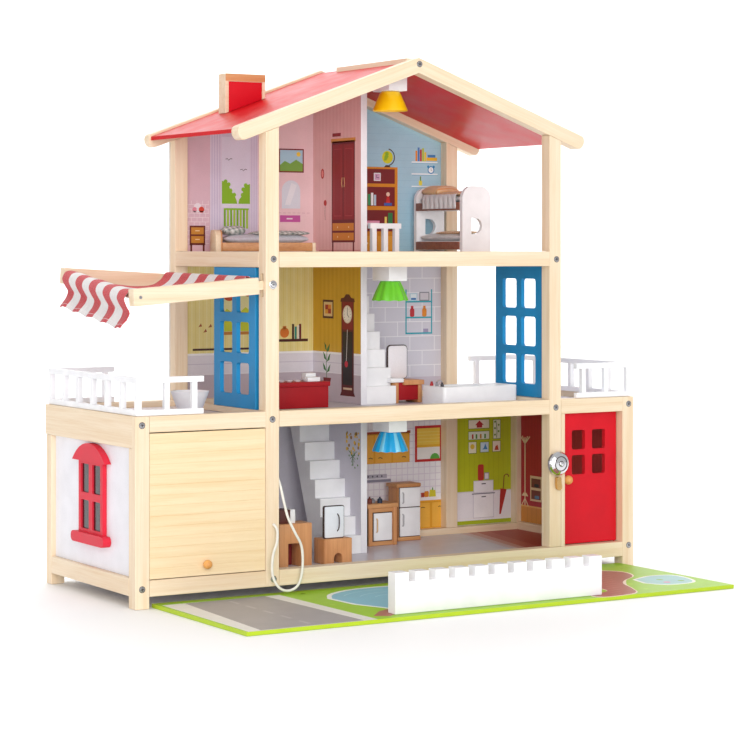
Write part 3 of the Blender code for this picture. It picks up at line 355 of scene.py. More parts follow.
class Piece:
    """One visible piece, gathered from closed shapes that each have their own material."""

    def __init__(self, name):
        self.name = name
        self.mesh = bmesh.new()
        self.looks = []

    def look_index(self, look):
        if look not in self.looks:
            self.looks.append(look)
        return self.looks.index(look)

    def take(self, part, look, ease=0.0, segments=2):
        """Adds a part's mesh, with its sharp edges rounded."""
        bmesh.ops.recalc_face_normals(part, faces=part.faces)
        if ease:
            sharp = [e for e in part.edges if len(e.link_faces) == 2 and e.calc_face_angle(0.0) > 0.6]
            bmesh.ops.bevel(part, geom=sharp, offset=ease, segments=segments, profile=0.5, affect="EDGES",
                            clamp_overlap=True)
        index = self.look_index(look)
        for face in part.faces:
            face.material_index = index
        held = bpy.data.meshes.new("held")
        part.to_mesh(held)
        part.free()
        self.mesh.from_mesh(held)
        bpy.data.meshes.remove(held)
        return self

    def prism(self, look, outline, axis, start, end, ease=0.0):
        put = {"X": lambda a, b, t: (t, a, b), "Y": lambda a, b, t: (a, t, b),
               "Z": lambda a, b, t: (a, b, t)}[axis]
        part = bmesh.new()
        first = [part.verts.new(put(a, b, start)) for a, b in outline]
        last = [part.verts.new(put(a, b, end)) for a, b in outline]
        part.faces.new(first)
        part.faces.new(last)
        for i in range(len(outline)):
            j = (i + 1) % len(outline)
            part.faces.new((first[i], first[j], last[j], last[i]))
        return self.take(part, look, ease)

    def box(self, look, low, high, ease=0.0006):
        return self.prism(look, rectangle(low[:2], high[:2]), "Z", low[2], high[2], ease)

    def turned(self, look, profile, centre, axis="Z", sides=28, flutes=0, depth=0.0, scallop=0.0):
        """A profile of (radius, height) spun round an axis, with flutes that deepen as it widens."""
        part = bmesh.new()
        rings = []
        for radius, height in profile:
            ring = []
            for i in range(sides if radius > 0 else 1):
                turn = 2 * math.pi * i / sides
                wave = math.cos(flutes * turn) if flutes else 0.0
                far = radius * (1 + depth * wave)
                ring.append(part.verts.new((far * math.cos(turn), far * math.sin(turn),
                                            height + scallop * wave * (radius > profile[1][0]))))
            rings.append(ring)
        for ring, after in zip(rings, rings[1:]):
            for i in range(sides):
                corners = [ring[i % len(ring)], ring[(i + 1) % sides % len(ring)],
                           after[(i + 1) % sides % len(after)], after[i % len(after)]]
                part.faces.new(list(dict.fromkeys(corners)))
        turn = {"Z": Matrix(), "Y": Matrix.Rotation(math.radians(90), 4, "X"),
                "X": Matrix.Rotation(math.radians(90), 4, "Y")}[axis]
        part.transform(Matrix.Translation(centre) @ turn)
        return self.take(part, look)

    def tube(self, look, path, radius, sides=8):
        """A round bar along a path, closed at both ends."""
        points = [Vector(p) for p in path]
        part = bmesh.new()
        rings = []
        side = None
        for i, point in enumerate(points):
            ahead = (points[min(i + 1, len(points) - 1)] - points[max(i - 1, 0)]).normalized()
            if side is None:
                side = ahead.orthogonal().normalized()
            side = (side - ahead * side.dot(ahead)).normalized()
            other = ahead.cross(side)
            rings.append([part.verts.new(point + (side * math.cos(t) + other * math.sin(t)) * radius)
                          for t in (2 * math.pi * k / sides for k in range(sides))])
        for ring, after in zip(rings, rings[1:]):
            for k in range(sides):
                part.faces.new((ring[k], ring[(k + 1) % sides], after[(k + 1) % sides], after[k]))
        part.faces.new(rings[0])
        part.faces.new(rings[-1])
        return self.take(part, look)

    def done(self, body="root", slot="printed_board", replaces=(), sharp=0.6):
        """The finished object, smooth except at its sharp edges, riding on its body."""
        for edge in self.mesh.edges:
            edge.smooth = len(edge.link_faces) == 2 and edge.calc_face_angle(0.0) < sharp
        for face in self.mesh.faces:
            face.smooth = True
        data = bpy.data.meshes.new(self.name)
        self.mesh.to_mesh(data)
        self.mesh.free()
        for look in self.looks:
            data.materials.append(LOOKS[look])
        made = bpy.data.objects.new(self.name, data)
        bpy.context.scene.collection.objects.link(made)
        made.location = ORIGIN
        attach(made, body)
        if replaces:
            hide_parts(*replaces)
        return made


# ---------------------------------------------------------------- prints
BACK_WALL = 0.2860              # face of the printed sheets on the back wall
LEFT_FACE = 0.42492             # left and right faces of the partitions
RIGHT_FACE = 0.43508
HALL_FACE = 0.7881


class Print(Piece):
    """Thin layers on a flat face: prints, and a few painted reflections. Its shapes are in millimetres on
    that face's own plane.
    """

    def __init__(self, name, axis, face, toward):
        super().__init__(name)
        self.axis = axis
        self.face = face
        self.toward = toward

    def shape(self, code, points, layer=4):
        outline = [(a * MM, b * MM) for a, b in points]
        return self.prism(code, outline, self.axis, self.face, self.face + self.toward * INK * layer)

    def rect(self, code, a, b, c, d, layer=4):
        return self.shape(code, rectangle((a, b), (c, d)), layer)

    def round(self, code, a, b, c, d, radius, layer=4):
        return self.shape(code, rounded((a, b), (c, d), radius), layer)

    def disc(self, code, a, b, radius, layer=4, sides=20):
        return self.shape(code, disc((a, b), radius, sides), layer)

    def line(self, code, points, width, layer=4):
        """A ribbon of even width through the points."""
        route = [Vector(p) for p in points]
        left, right = [], []
        for i, point in enumerate(route):
            ahead = (route[min(i + 1, len(route) - 1)] - route[max(i - 1, 0)]).normalized()
            side = Vector((-ahead.y, ahead.x)) * width / 2
            left.append(tuple(point + side))
            right.append(tuple(point - side))
        return self.shape(code, left + right[::-1], layer)

    def frame(self, edge, fill, a, b, c, d, border=1.6, layer=4):
        self.rect(edge, a, b, c, d, layer)
        return self.rect(fill, a + border, b + border, c - border, d - border, layer + 1)


# The partitions' faces, storey by storey: lowest, lowest and highest between the back rails, highest.
STOREYS = {"ground": (27.6, 36.9, 226.1, 233.4), "first": (239.6, 247.8, 437.6, 443.6)}
BEFORE_RAILS = 269.5            # Y where a partition's face runs in between the back rails
BEHIND_RAILS = 285.7
PARTITION_FRONT = 148.5


def partition_face(wall, code, storey, front=PARTITION_FRONT):
    """The ground colour of a partition's face, in front of and between the back rails."""
    low, rail_low, rail_high, high = STOREYS[storey]
    wall.rect(code, front, low, BEFORE_RAILS, high, 2)
    wall.rect(code, BEFORE_RAILS, rail_low, BEHIND_RAILS, rail_high, 2)


def attic_face(wall, code):
    """The same in the attic, where the top steps up towards the front."""
    wall.shape(code, [(148.5, 450), (269.5, 450), (269.5, 698), (213, 698), (213, 704), (148.5, 704)], 2)
    wall.rect(code, BEFORE_RAILS, 459.4, BEHIND_RAILS, 697, 2)


def under_roof(x):
    """Height of the gable boards' undersides, in millimetres."""
    return (APEX_Z - GABLE_DROP - SLOPE * abs(x * MM - CENTRE_X)) / MM


def bush(wall, code, points, layer):
    """A cluster of leaves with a scalloped edge, from its bumps and its two lower corners."""
    wall.shape(code, points, layer)
    for a, b in points[2:-2]:
        wall.disc(code, a, b, 3.2, layer + 1, 12)


def attic_bedroom():
    """Papered walls, a curtained window, a bedside table, a vanity mirror and a landscape."""
    wall = Print("attic_bedroom_print", "Y", BACK_WALL, -1)
    wall.shape("EFD2D6", [(210, 459), (425, 459), (425, under_roof(425)), (210, under_roof(210))], 2)
    wall.shape("E3C2CF", [(210, 459), (254, 459), (254, under_roof(254)), (210, under_roof(210))], 3)
    for row in range(10):
        z = 470 + row * 6.2
        wall.rect("F6E3E8", 216, z, 252, z + 0.8, 4)
        for k in range(4):
            x = 219 + (row % 2) * 4.5 + k * 9
            wall.rect("F6E3E8", x, z, x + 0.7, z + 6.2, 4)
    wall.rect("DDD3E8", 254, 459, 332, under_roof(254), 4)
    wall.rect("E6E2F4", 273, 522, 319, 625, 5)
    for k in range(9):
        wall.rect("CFC4E0" if k % 2 else "EAE3F3", 254.5 + k * 2.1, 462, 255.4 + k * 2.1, under_roof(250), 6)
        wall.rect("CFC4E0" if k % 2 else "EAE3F3", 319.5 + k * 1.4, 462, 320.2 + k * 1.4, under_roof(252), 6)
    for x, z in ((284, 591), (308, 576)):
        wall.line("41405A", [(x - 5, z + 1.5), (x - 2, z + 2.4), (x, z), (x + 3, z + 2.6),
                             (x + 6, z + 1.8)], 0.9, 7)
    left = [(273, 528), (273, 561), (279, 560), (284, 556), (287, 547), (293, 541), (297, 533), (298, 528)]
    right = [(300, 528), (301, 534), (307, 541), (308, 549), (312, 555), (319, 557), (319, 528)]
    for points in (left, right):
        bush(wall, "8DC21F", points, 7)
    for k in range(8):
        wall.rect("A9CE3A" if k % 2 else "7DB31C", 276 + k * 5.2, 492, 279.4 + k * 5.2, 521, 7)
    wall.rect("8DC21F", 276, 519, 317, 521.5, 8)
    wall.rect("6C2A1E", 221, 468, 246, 496, 7)
    wall.rect("6C2A1E", 222, 459, 225, 470, 7)
    wall.rect("6C2A1E", 242, 459, 245, 470, 7)
    for z in (471, 483.5):
        wall.rect("CF8C34", 223.5, z, 243.5, z + 10, 8)
        wall.rect("F4D9A4", 230, z + 4.5, 237, z + 5.8, 9)
    wall.disc("F3E9F1", 234, 523, 5.6, 7)
    wall.disc("D8442E", 240, 519, 4.4, 8)
    wall.disc("E98FA2", 229, 519, 3.6, 8)
    wall.rect("F5EEF4", 226, 515.5, 245, 517, 8)
    wall.frame("7E1F23", "AFD8EA", 367, 575, 409, 610, 2.0, 7)
    wall.shape("7FB24E", [(369, 577), (407, 577), (407, 588), (396, 594), (386, 588), (377, 592),
                          (369, 586)], 9)
    wall.disc("F4D54B", 400, 602, 3.4, 9)
    arch = arc((387.5, 548), 15.5, 10, 170, 10)
    wall.shape("DDE5F0", [(372, 522), (403, 522), (403, 548)] + arch + [(372, 548)], 7)
    wall.shape("EBF0F7", [(377, 527), (386, 527), (397, 556), (388, 560)], 8)
    wall.rect("C65CA6", 369, 502, 403, 512, 7)
    wall.rect("F3E9F1", 380, 506, 390, 508, 8)
    for k in range(7):
        wall.rect("D9B5BF", 366 + k * 8, 515, 371 + k * 8, 516, 6)
    wall.rect("F3DDE0", 332, 459, 425, 464, 5)
    wall.rect("D9AEB8", 332, 464, 425, 465, 5)
    return wall.done()


def attic_study():
    """Blue boards with a bookcase, a globe, shelves and a clock."""
    wall = Print("attic_study_print", "Y", BACK_WALL, -1)
    wall.shape("A9D0E2", [(435, 459), (650, 459), (650, under_roof(650)), (435, under_roof(435))], 2)
    for row in range(22):
        z = 466 + row * 10
        right = min(649, 430 + (700 - z) / SLOPE)
        if right > 440:
            wall.rect("9CC7DC", 436, z, right, z + 0.6, 3)
    wall.rect("D9891E", 500, 458, 572, 586, 5)
    for low, high in ((561, 583), (527, 556), (489, 521)):
        wall.rect("7C1E22", 503, low, 567, high, 6)
    for x in (503, 536.5):
        wall.rect("E9A236", x, 461, x + 31, 482, 6)
        wall.disc("FBE7B6", x + 15.5, 471, 1.4, 7)
    wall.frame("F3F0F4", "D8A6C7", 530, 565, 542, 577, 1.4, 7)
    wall.line("3C3A5A", [(535, 574), (535, 570), (539, 570)], 0.9, 9)
    for x, high, code in ((515, 546, "7A8B34"), (520, 545, "2F9C62"), (525, 547, "F1F0F2"),
                          (530, 544, "B9CFE0")):
        wall.rect(code, x, 528, x + 4, high, 7)
    wall.disc("F0C9B2", 555, 545, 3.2, 8)
    wall.shape("C22B2B", [(551, 532), (559, 532), (557, 542), (553, 542)], 7)
    wall.rect("3E5CA8", 548, 528, 562, 532, 7)
    wall.rect("2E7D46", 555, 492, 563, 517, 7)
    wall.rect("F0D46A", 549, 492, 553, 511, 7)
    wall.rect("EE9DBE", 518, 498, 540, 505, 7)
    wall.rect("F8D3E1", 518, 500, 540, 502, 8)
    ring = arc((554, 601), 12.5, -75, 80, 12)
    wall.line("3A3128", ring, 1.6, 5)
    wall.disc("D7D424", 554, 601, 9.6, 6)
    bush(wall, "8DBB2A", [(548, 596), (549, 603), (553, 606), (556, 602), (552, 596)], 7)
    wall.shape("3A3128", [(548, 586), (560, 586), (557, 589), (551, 589)], 6)
    for z in (595, 577, 558):
        wall.rect("EDF4F8", 597, z - 1.5, 644, z + 0.6, 5)
        wall.rect("8FBFD6", 598, z - 3.0, 645, z - 1.5, 4)
    for x, high, code in ((604, 612, "E58F2C"), (608, 617, "4A79BE"), (612, 614, "C23B32"),
                          (616, 616, "B7C92E"), (620, 610, "E8C92F")):
        wall.rect(code, x, 596, x + 3.4, high, 6)
    wall.rect("3C7FC0", 626, 602, 640, 606, 6)
    wall.rect("E8B92C", 624, 597, 643, 602, 6)
    wall.disc("2D8BC6", 632, 583, 6.0, 6)
    wall.disc("F7FBFD", 632, 583, 4.4, 7)
    wall.line("223A55", [(632, 586), (632, 583), (634, 582)], 0.7, 8)
    for x in (627, 637):
        wall.disc("2D8BC6", x, 588, 2.0, 6, 10)
    wall.round("F0E04A", 610, 559, 616, 567, 2, 6)
    wall.rect("6C8F3A", 612, 566, 614, 573, 6)
    return wall.done()


def attic_side():
    """The bedroom's wardrobe and a small oval mirror, on the partition."""
    wall = Print("attic_partition_print", "X", LEFT_FACE, -1)
    attic_face(wall, "E7BDBB")
    for k in range(24):
        y = 151 + k * 5
        wall.rect("E1B3B2" if k % 2 else "ECC6C4", y, 462, y + 1.2, 697, 3)
    wall.rect("C98F8C", 148.6, 459, 269, 461, 4)
    wall.rect("D89A45", 163, 617, 233, 623, 5)
    wall.rect("6A1318", 165, 472, 231, 619, 5)
    for y in (168, 199.5):
        wall.rect("8E1C22", y, 505, y + 29, 614, 6)
        wall.frame("B0413F", "8E1C22", y + 4, 510, y + 25, 608, 0.9, 7)
        for z in (494, 480):
            wall.disc("F2D49A", y + 14.5, z, 1.3, 7)
    for z in (475, 489):
        wall.rect("D3862F", 168, z, 228.5, z + 11, 6)
    wall.line("E8C583", [(195.5, 552), (194, 558), (195.5, 566)], 1.4, 9)
    wall.line("E8C583", [(201, 552), (202.5, 558), (201, 566)], 1.4, 9)
    for y in (167, 226):
        wall.rect("6A1318", y, 455, y + 4, 473, 5)
    wall.rect("8E1C22", 205, 626, 229, 631, 5)
    for code, across, up, layer in (("B5302F", 5, 7.5, 5), ("E58C86", 3, 5, 6)):
        turns = [t / 8 * math.pi for t in range(16)]
        wall.shape(code, [(258 + across * math.cos(t), 573 + up * math.sin(t)) for t in turns], layer)
    wall.disc("B8332C", 250, 530, 4.5, 5, 12)
    wall.line("7B4B34", [(250, 505), (251, 515), (250, 530)], 1.0, 4)
    return wall.done()


def attic_side_right():
    """The study's side of the attic partition, with one picture."""
    wall = Print("attic_partition_print_right", "X", RIGHT_FACE, 1)
    attic_face(wall, "A9D0E2")
    wall.frame("F4F6F8", "F1D9A0", 190, 560, 230, 600, 2.4, 4)
    wall.shape("E0703A", [(194, 565), (226, 565), (216, 586), (208, 574), (201, 584)], 6)
    return wall.done()


def wainscot(wall, low, high, layer, foot=239.5):
    """The lilac lower wall: a pale top with a fine line, and a mauve band."""
    wall.rect("E6E2EB", low, foot, high, 312, layer)
    wall.rect("FBFAFD", low, 309, high, 312, layer + 1)
    wall.rect("CDC6D6", low, 296, high, 297, layer + 1)
    wall.rect("C6B9C4", low, foot, high, 281, layer + 1)
    wall.rect("EEEAF1", low, 281, high, 282.4, layer + 2)


def dining_room():
    """Striped paper over a wainscot, with a picture, a shelf of books and a long rail."""
    wall = Print("dining_room_print", "Y", BACK_WALL, -1)
    wall.rect("EFE096", 210, 248, 425, 437.6, 2)
    for k in range(36):
        wall.rect("E9D884" if k % 2 else "F4E9AE", 212 + k * 6, 312, 213.2 + k * 6, 437, 3)
    wainscot(wall, 210, 425, 3)
    wall.rect("4A1C18", 366, 326, 416, 330, 5)
    wall.disc("D9772B", 376.5, 339.5, 7.6, 6)
    wall.rect("D9772B", 373.5, 345, 379.5, 349, 6)
    for x, high, code in ((389, 352, "43201F"), (393.5, 348, "2F8E84"), (398, 350, "EFE6D6"),
                          (401, 352, "6E1F27")):
        wall.rect(code, x, 330, x + 3.6, high, 6)
    wall.frame("C07F2D", "E9E4A8", 262, 338, 332, 418, 4.5, 5)
    wall.shape("C8D02C", [(267, 343), (327, 343), (327, 366), (312, 378), (296, 366), (281, 376),
                          (267, 362)], 7)
    wall.disc("C94F2A", 285, 398, 11, 7)
    wall.disc("C94F2A", 316, 401, 8, 7)
    for x, z in ((238, 352), (246, 344), (254, 351)):
        wall.shape("A4592E", [(x - 3, z - 2), (x + 3, z - 1), (x + 1, z + 3.4)], 6)
    wall.rect("46241F", 226, 316, 345, 319, 6)
    return wall.done()


def dining_side():
    """A longcase clock, a picture and a potted plant, on the partition."""
    wall = Print("dining_partition_print", "X", LEFT_FACE, -1)
    partition_face(wall, "D9A928", "first")
    for k in range(20):
        wall.rect("CE9C1E" if k % 2 else "E0B43A", 150 + k * 6, 312, 151.2 + k * 6, 443, 3)
    wainscot(wall, PARTITION_FRONT, BEFORE_RAILS, 3)
    wainscot(wall, BEFORE_RAILS, BEHIND_RAILS, 3, 247.8)
    wall.rect("4A1419", 226, 361, 257, 388, 6)
    wall.rect("E8C98E", 229, 364, 254, 385, 7)
    wall.rect("B22F25", 233, 368, 250, 381, 8)
    wall.rect("E58A2C", 233, 375, 241.5, 381, 9)
    wall.rect("E5A03C", 241.5, 368, 250, 374, 9)
    wall.rect("5C1015", 168, 254, 203, 388, 6)
    wall.shape("5C1015", [(165, 386), (206, 386), (204, 391), (196, 392), (190, 397), (181, 397), (175, 392),
                          (167, 391)], 7)
    wall.rect("8A1A1E", 170.5, 346, 200.5, 386, 8)
    wall.disc("E9DCC0", 186, 368, 13, 9, 28)
    wall.disc("F8F1E0", 186, 368, 11, 10, 28)
    for turn in range(12):
        t = turn * math.pi / 6
        wall.disc("5A4B3A", 186 + 9 * math.cos(t), 368 + 9 * math.sin(t), 0.6, 11, 6)
    wall.line("2A2018", [(186, 378), (186, 368), (182, 364)], 1.1, 12)
    wall.rect("1B0E10", 171.5, 266, 199.5, 343, 8)
    wall.line("E7E2E0", [(186, 346), (187.5, 322), (189, 299)], 1.2, 9)
    wall.disc("C7283A", 189, 296, 4.6, 10)
    wall.rect("D9BDA0", 173, 259, 198, 262, 8)
    wall.shape("5C1015", [(164, 250), (207, 250), (203, 256), (168, 256)], 7)
    wall.line("3F7B3B", [(246, 274), (247, 296), (244, 318)], 1.3, 6)
    for y, z, lean in ((239, 288, -1), (253, 290, 1), (239, 304, -1), (252, 306, 1), (240, 318, -1),
                       (249, 320, 1)):
        wall.shape("2F7434", [(246, z - 7), (y - lean * 2, z + 1), (y + lean * 4, z + 6),
                              (y + lean, z - 4)], 7)
    wall.shape("7A1A1E", [(236, 264), (253, 264), (256, 274), (233, 274)], 6)
    return wall.done()


def bathroom():
    """Large tiles and a turquoise shelf."""
    wall = Print("bathroom_print", "Y", BACK_WALL, -1)
    wall.rect("big_tile", 435, 248, 650, 437.6, 2)
    wall.rect("C9C1CF", 435, 248, 650, 268, 3)
    for x in (586, 632):
        wall.rect("2AA6B8", x, 333, x + 2.2, 401, 5)
    for z in (381, 357, 333):
        wall.rect("2AA6B8", 586, z, 634, z + 2.4, 6)
    wall.frame("B7D7E6", "EAF3F8", 594, 383.4, 607, 395, 1.2, 7)
    wall.rect("3576B8", 596, 385, 605, 388, 9)
    wall.frame("8A8B93", "D9D2DA", 611, 383.4, 629, 397, 1.6, 7)
    for code, x in (("C62C35", 598), ("E58A24", 620)):
        wall.round(code, x - 4, 359.4, x + 4, 372, 2.5, 7)
        wall.rect(code, x - 2.2, 371, x + 2.2, 376, 7)
    wall.rect("A79CBC", 618, 335.4, 627, 341, 7)
    return wall.done()


def bathroom_side():
    """Large tiles beside the upper stairs."""
    wall = Print("bathroom_partition_print", "X", RIGHT_FACE, 1)
    wall.rect("big_tile_x", 200, 239.6, 269.5, 443.6, 2)
    return wall.done()


def kitchen():
    """Small tiles, wall cupboards, a window with a blind, and a worktop."""
    wall = Print("kitchen_print", "Y", BACK_WALL, -1)
    wall.rect("tile", 435, 37, 650, 226, 2)
    wall.rect("B04A2C", 500, 183, 595, 187, 5)
    wall.rect("EFA832", 500, 139, 593, 184, 5)
    for x in (500, 531.5, 563):
        wall.frame("E39A22", "F4B347", x, 139, x + 30.5, 183, 0.8, 6)
    for x in (521, 538, 580):
        wall.line("5A3A28", [(x, 147), (x + 3, 148), (x + 7, 146.6)], 1.2, 8)
    wall.rect("C42D2B", 603, 138, 651, 193, 5)
    wall.rect("F4F1EE", 607, 142, 648, 189, 6)
    wall.rect("F3CC53", 607, 160, 648, 189, 7)
    wall.rect("E9B437", 607, 160, 648, 164, 8)
    for z in (168, 173, 178, 183):
        wall.rect("F9DD7C", 607, z, 648, z + 0.8, 8)
    wall.shape("5DB04A", arc((639, 142), 8.5, 0, 180, 12), 7)
    wall.rect("B7B3C2", 500, 117, 553, 123, 5)
    for k in range(5):
        wall.disc("5C5A6C", 512 + k * 8, 120, 1.5, 6, 10)
    wall.rect("8E8DA2", 500, 111, 560, 115, 5)
    wall.rect("DCD9E4", 500, 115, 560, 116.5, 6)
    wall.round("E0892B", 620, 84, 628, 93, 2, 6)
    wall.shape("D9CF35", [(628, 84), (641, 84), (640, 94), (630, 95)], 6)
    wall.rect("5B9C45", 634, 94, 636, 98, 6)
    wall.rect("B5493A", 614, 84, 620, 91, 6)
    wall.rect("F2EEF3", 600, 79, 657, 84, 5)
    wall.rect("E9A52F", 600, 32, 657, 79, 5)
    for x in (602, 633):
        wall.frame("D9921F", "F2B748", x, 37, x + (29 if x == 602 else 23), 76, 0.8, 6)
        wall.line("6B4A2A", [(x + 12, 68), (x + 15, 69), (x + 19, 68)], 1.1, 8)
    return wall.done()


def landing():
    """The wall behind the stairs, and both faces of the ground floor's partition."""
    wall = Print("landing_print", "Y", BACK_WALL, -1)
    wall.rect("DEDBE6", 210, 37, 425, 226, 2)
    wall.rect("CFC9D8", 210, 37, 425, 44, 3)
    wall.done()
    wall = Print("ground_partition_print", "X", LEFT_FACE, -1)
    partition_face(wall, "D3CFDB", "ground")
    wall.rect("C3BDCB", 148.5, 27.6, 269.5, 36, 3)
    stems = [(171 + dy, 172, 171 - dy * 0.6, 148 + abs(dy)) for dy in (-12, -7, -2, 3, 8, 12)]
    for top_y, top_z, low_y, low_z in stems:
        wall.line("4C7A34", [(top_y, top_z), (low_y, low_z)], 1.0, 5)
    chance = random.Random(5)
    for k in range(26):
        y = chance.uniform(153, 189)
        z = chance.uniform(168, 199)
        wall.disc("EDBE2E" if k % 3 else "A6761F", y, z, chance.uniform(1.6, 3.2), 7 + k % 3, 8)
    for k in range(8):
        wall.disc("4F8338", chance.uniform(154, 188), chance.uniform(144, 168), 1.5, 6, 8)
    wall.done()
    wall = Print("kitchen_partition_print", "X", RIGHT_FACE, 1)
    partition_face(wall, "tile_x", "ground")
    wall.frame("C42D2B", "F4F1EE", 190, 120, 232, 170, 3, 4)
    wall.rect("F3CC53", 193, 148, 229, 167, 6)
    return wall.done()


def hall():
    """Green paper with pictures and a chest; the red side wall has a coat stand and shelves."""
    wall = Print("hall_print", "Y", BACK_WALL, -1)
    wall.rect("BFC925", 670, 37, 780, 226, 2)
    for k in range(12):
        wall.rect("B5BF1C", 675 + k * 9, 90, 676 + k * 9, 225, 3)
    wall.rect("EFEDF3", 670, 43, 780, 88, 4)
    wall.rect("DAD7E0", 670, 86.5, 780, 88, 5)
    wall.rect("A9B820", 670, 37, 780, 43, 4)
    pictures = ((700, 184, 740, 199, "F6EFD8"), (700, 167, 740, 181, "E7EFDD"),
                (700, 146, 716, 165, "F4F2D6"), (722, 147, 739, 164, "D5EAF2"),
                (746, 167, 761, 198, "EAF0D2"), (745, 147, 761, 165, "F8ECD9"))
    for a, b, c, d, fill in pictures:
        wall.frame("7E8A2C", fill, a, b, c, d, 1.0, 5)
    wall.shape("C23B3B", [(713, 190), (729, 190), (721, 197)], 7)
    wall.rect("C23B3B", 716, 186, 726, 190.5, 7)
    for x, code in ((707, "B5382F"), (714, "4F8F3D"), (722, "C58B2C"), (730, "4F8F3D")):
        wall.rect(code, x, 169, x + 3, 176, 7)
    wall.disc("E5C443", 708, 157, 4, 7, 12)
    wall.shape("4E92C4", [(726, 152), (736, 152), (732, 161), (729, 154)], 7)
    wall.line("55752E", [(753, 169), (754, 180), (752, 196)], 1.0, 7)
    for k in range(5):
        wall.disc("6E9A3A", 750 + (k % 2) * 7, 174 + k * 5, 1.7, 8, 8)
    wall.shape("C4512F", [(749, 150), (757, 150), (755, 158), (751, 156)], 7)
    wall.rect("C9C6D4", 709, 46, 748, 84, 5)
    wall.rect("F5F4F8", 710, 47, 747, 83, 6)
    wall.rect("5F5C6E", 707, 83, 750, 84.4, 7)
    wall.frame("C9C6D4", "F5F4F8", 710, 85, 747, 104, 0.8, 7)
    for z in (78, 98):
        wall.rect("4C4A5A", 725, z, 733, z + 1.6, 9)
    wall.round("C23A33", 718, 104, 729, 129, 3, 8)
    wall.frame("9C99A8", "ECEAF0", 730, 105, 739, 116, 1.2, 8)
    wall.line("7B2A26", arc((771.5, 107), 4.5, 0, 180, 8), 1.6, 7)
    wall.line("7B2A26", [(767, 107), (765, 84)], 1.4, 7)
    wall.shape("B5302C", [(758, 50), (761, 50), (772, 88), (760, 90)], 8)
    wall.done()
    side = Print("hall_side_print", "X", HALL_FACE, -1)
    side.rect("B6262F", 21, 39, 269.5, 233.4, 2)
    for k in range(30):
        side.rect("A91F29", 24 + k * 8, 66, 25.4 + k * 8, 233, 3)
    side.rect("D8903F", 21, 39, 269.5, 64, 3)
    for k in range(20):
        side.rect("C27B30", 24 + k * 12, 39, 24.9 + k * 12, 63, 4)
    side.rect("EBB469", 21, 62.5, 269.5, 65, 5)
    side.rect("F0D9B0", 257.6, 64, 260.4, 170, 5)
    for y in (246, 252, 266, 272):
        side.line("F0D9B0", [(259, 160), (y, 172)], 2.0, 6)
    side.shape("F0D9B0", [(250, 79), (268, 79), (263, 84), (255, 84)], 6)
    for k in (-1, 1):
        side.line("F0D9B0", [(259, 76), (259 + 9 * k, 64)], 1.8, 6)
    side.rect("E6C9A0", 214, 73, 245, 112, 5)
    for z in (76, 94):
        side.rect("7A3A2C", 217, z, 242, z + 14, 6)
    side.round("22202A", 222, 95, 234, 100, 2, 7)
    side.round("5B83A8", 221, 77, 233, 82, 2, 7)
    return side.done()


def floor_prints_and_reflection():
    """The ground floor: a painted reflection of the hall's red side wall, deepening towards it, a band at the
    stove, and ochre by the stairs.
    """
    ground = Print("ground_floor_print", "Z", 0.0270, 1)
    # painted reflection: layers that grow redder towards the hall's red side wall
    for code, far, near, layer in (("D9C0BE", 655, 628, 2), ("CE9488", 668, 640, 3), ("BE5B4C", 684, 652, 4),
                                   ("B23A36", 706, 676, 5)):
        ground.shape(code, [(near, 21), (787, 21), (787, 269), (far + 20, 269)], layer)
    ground.rect("D98F45", 452, 236, 584, 268, 2)
    ground.rect("C9953F", 211, 90, 262, 269, 2)
    return ground.done()


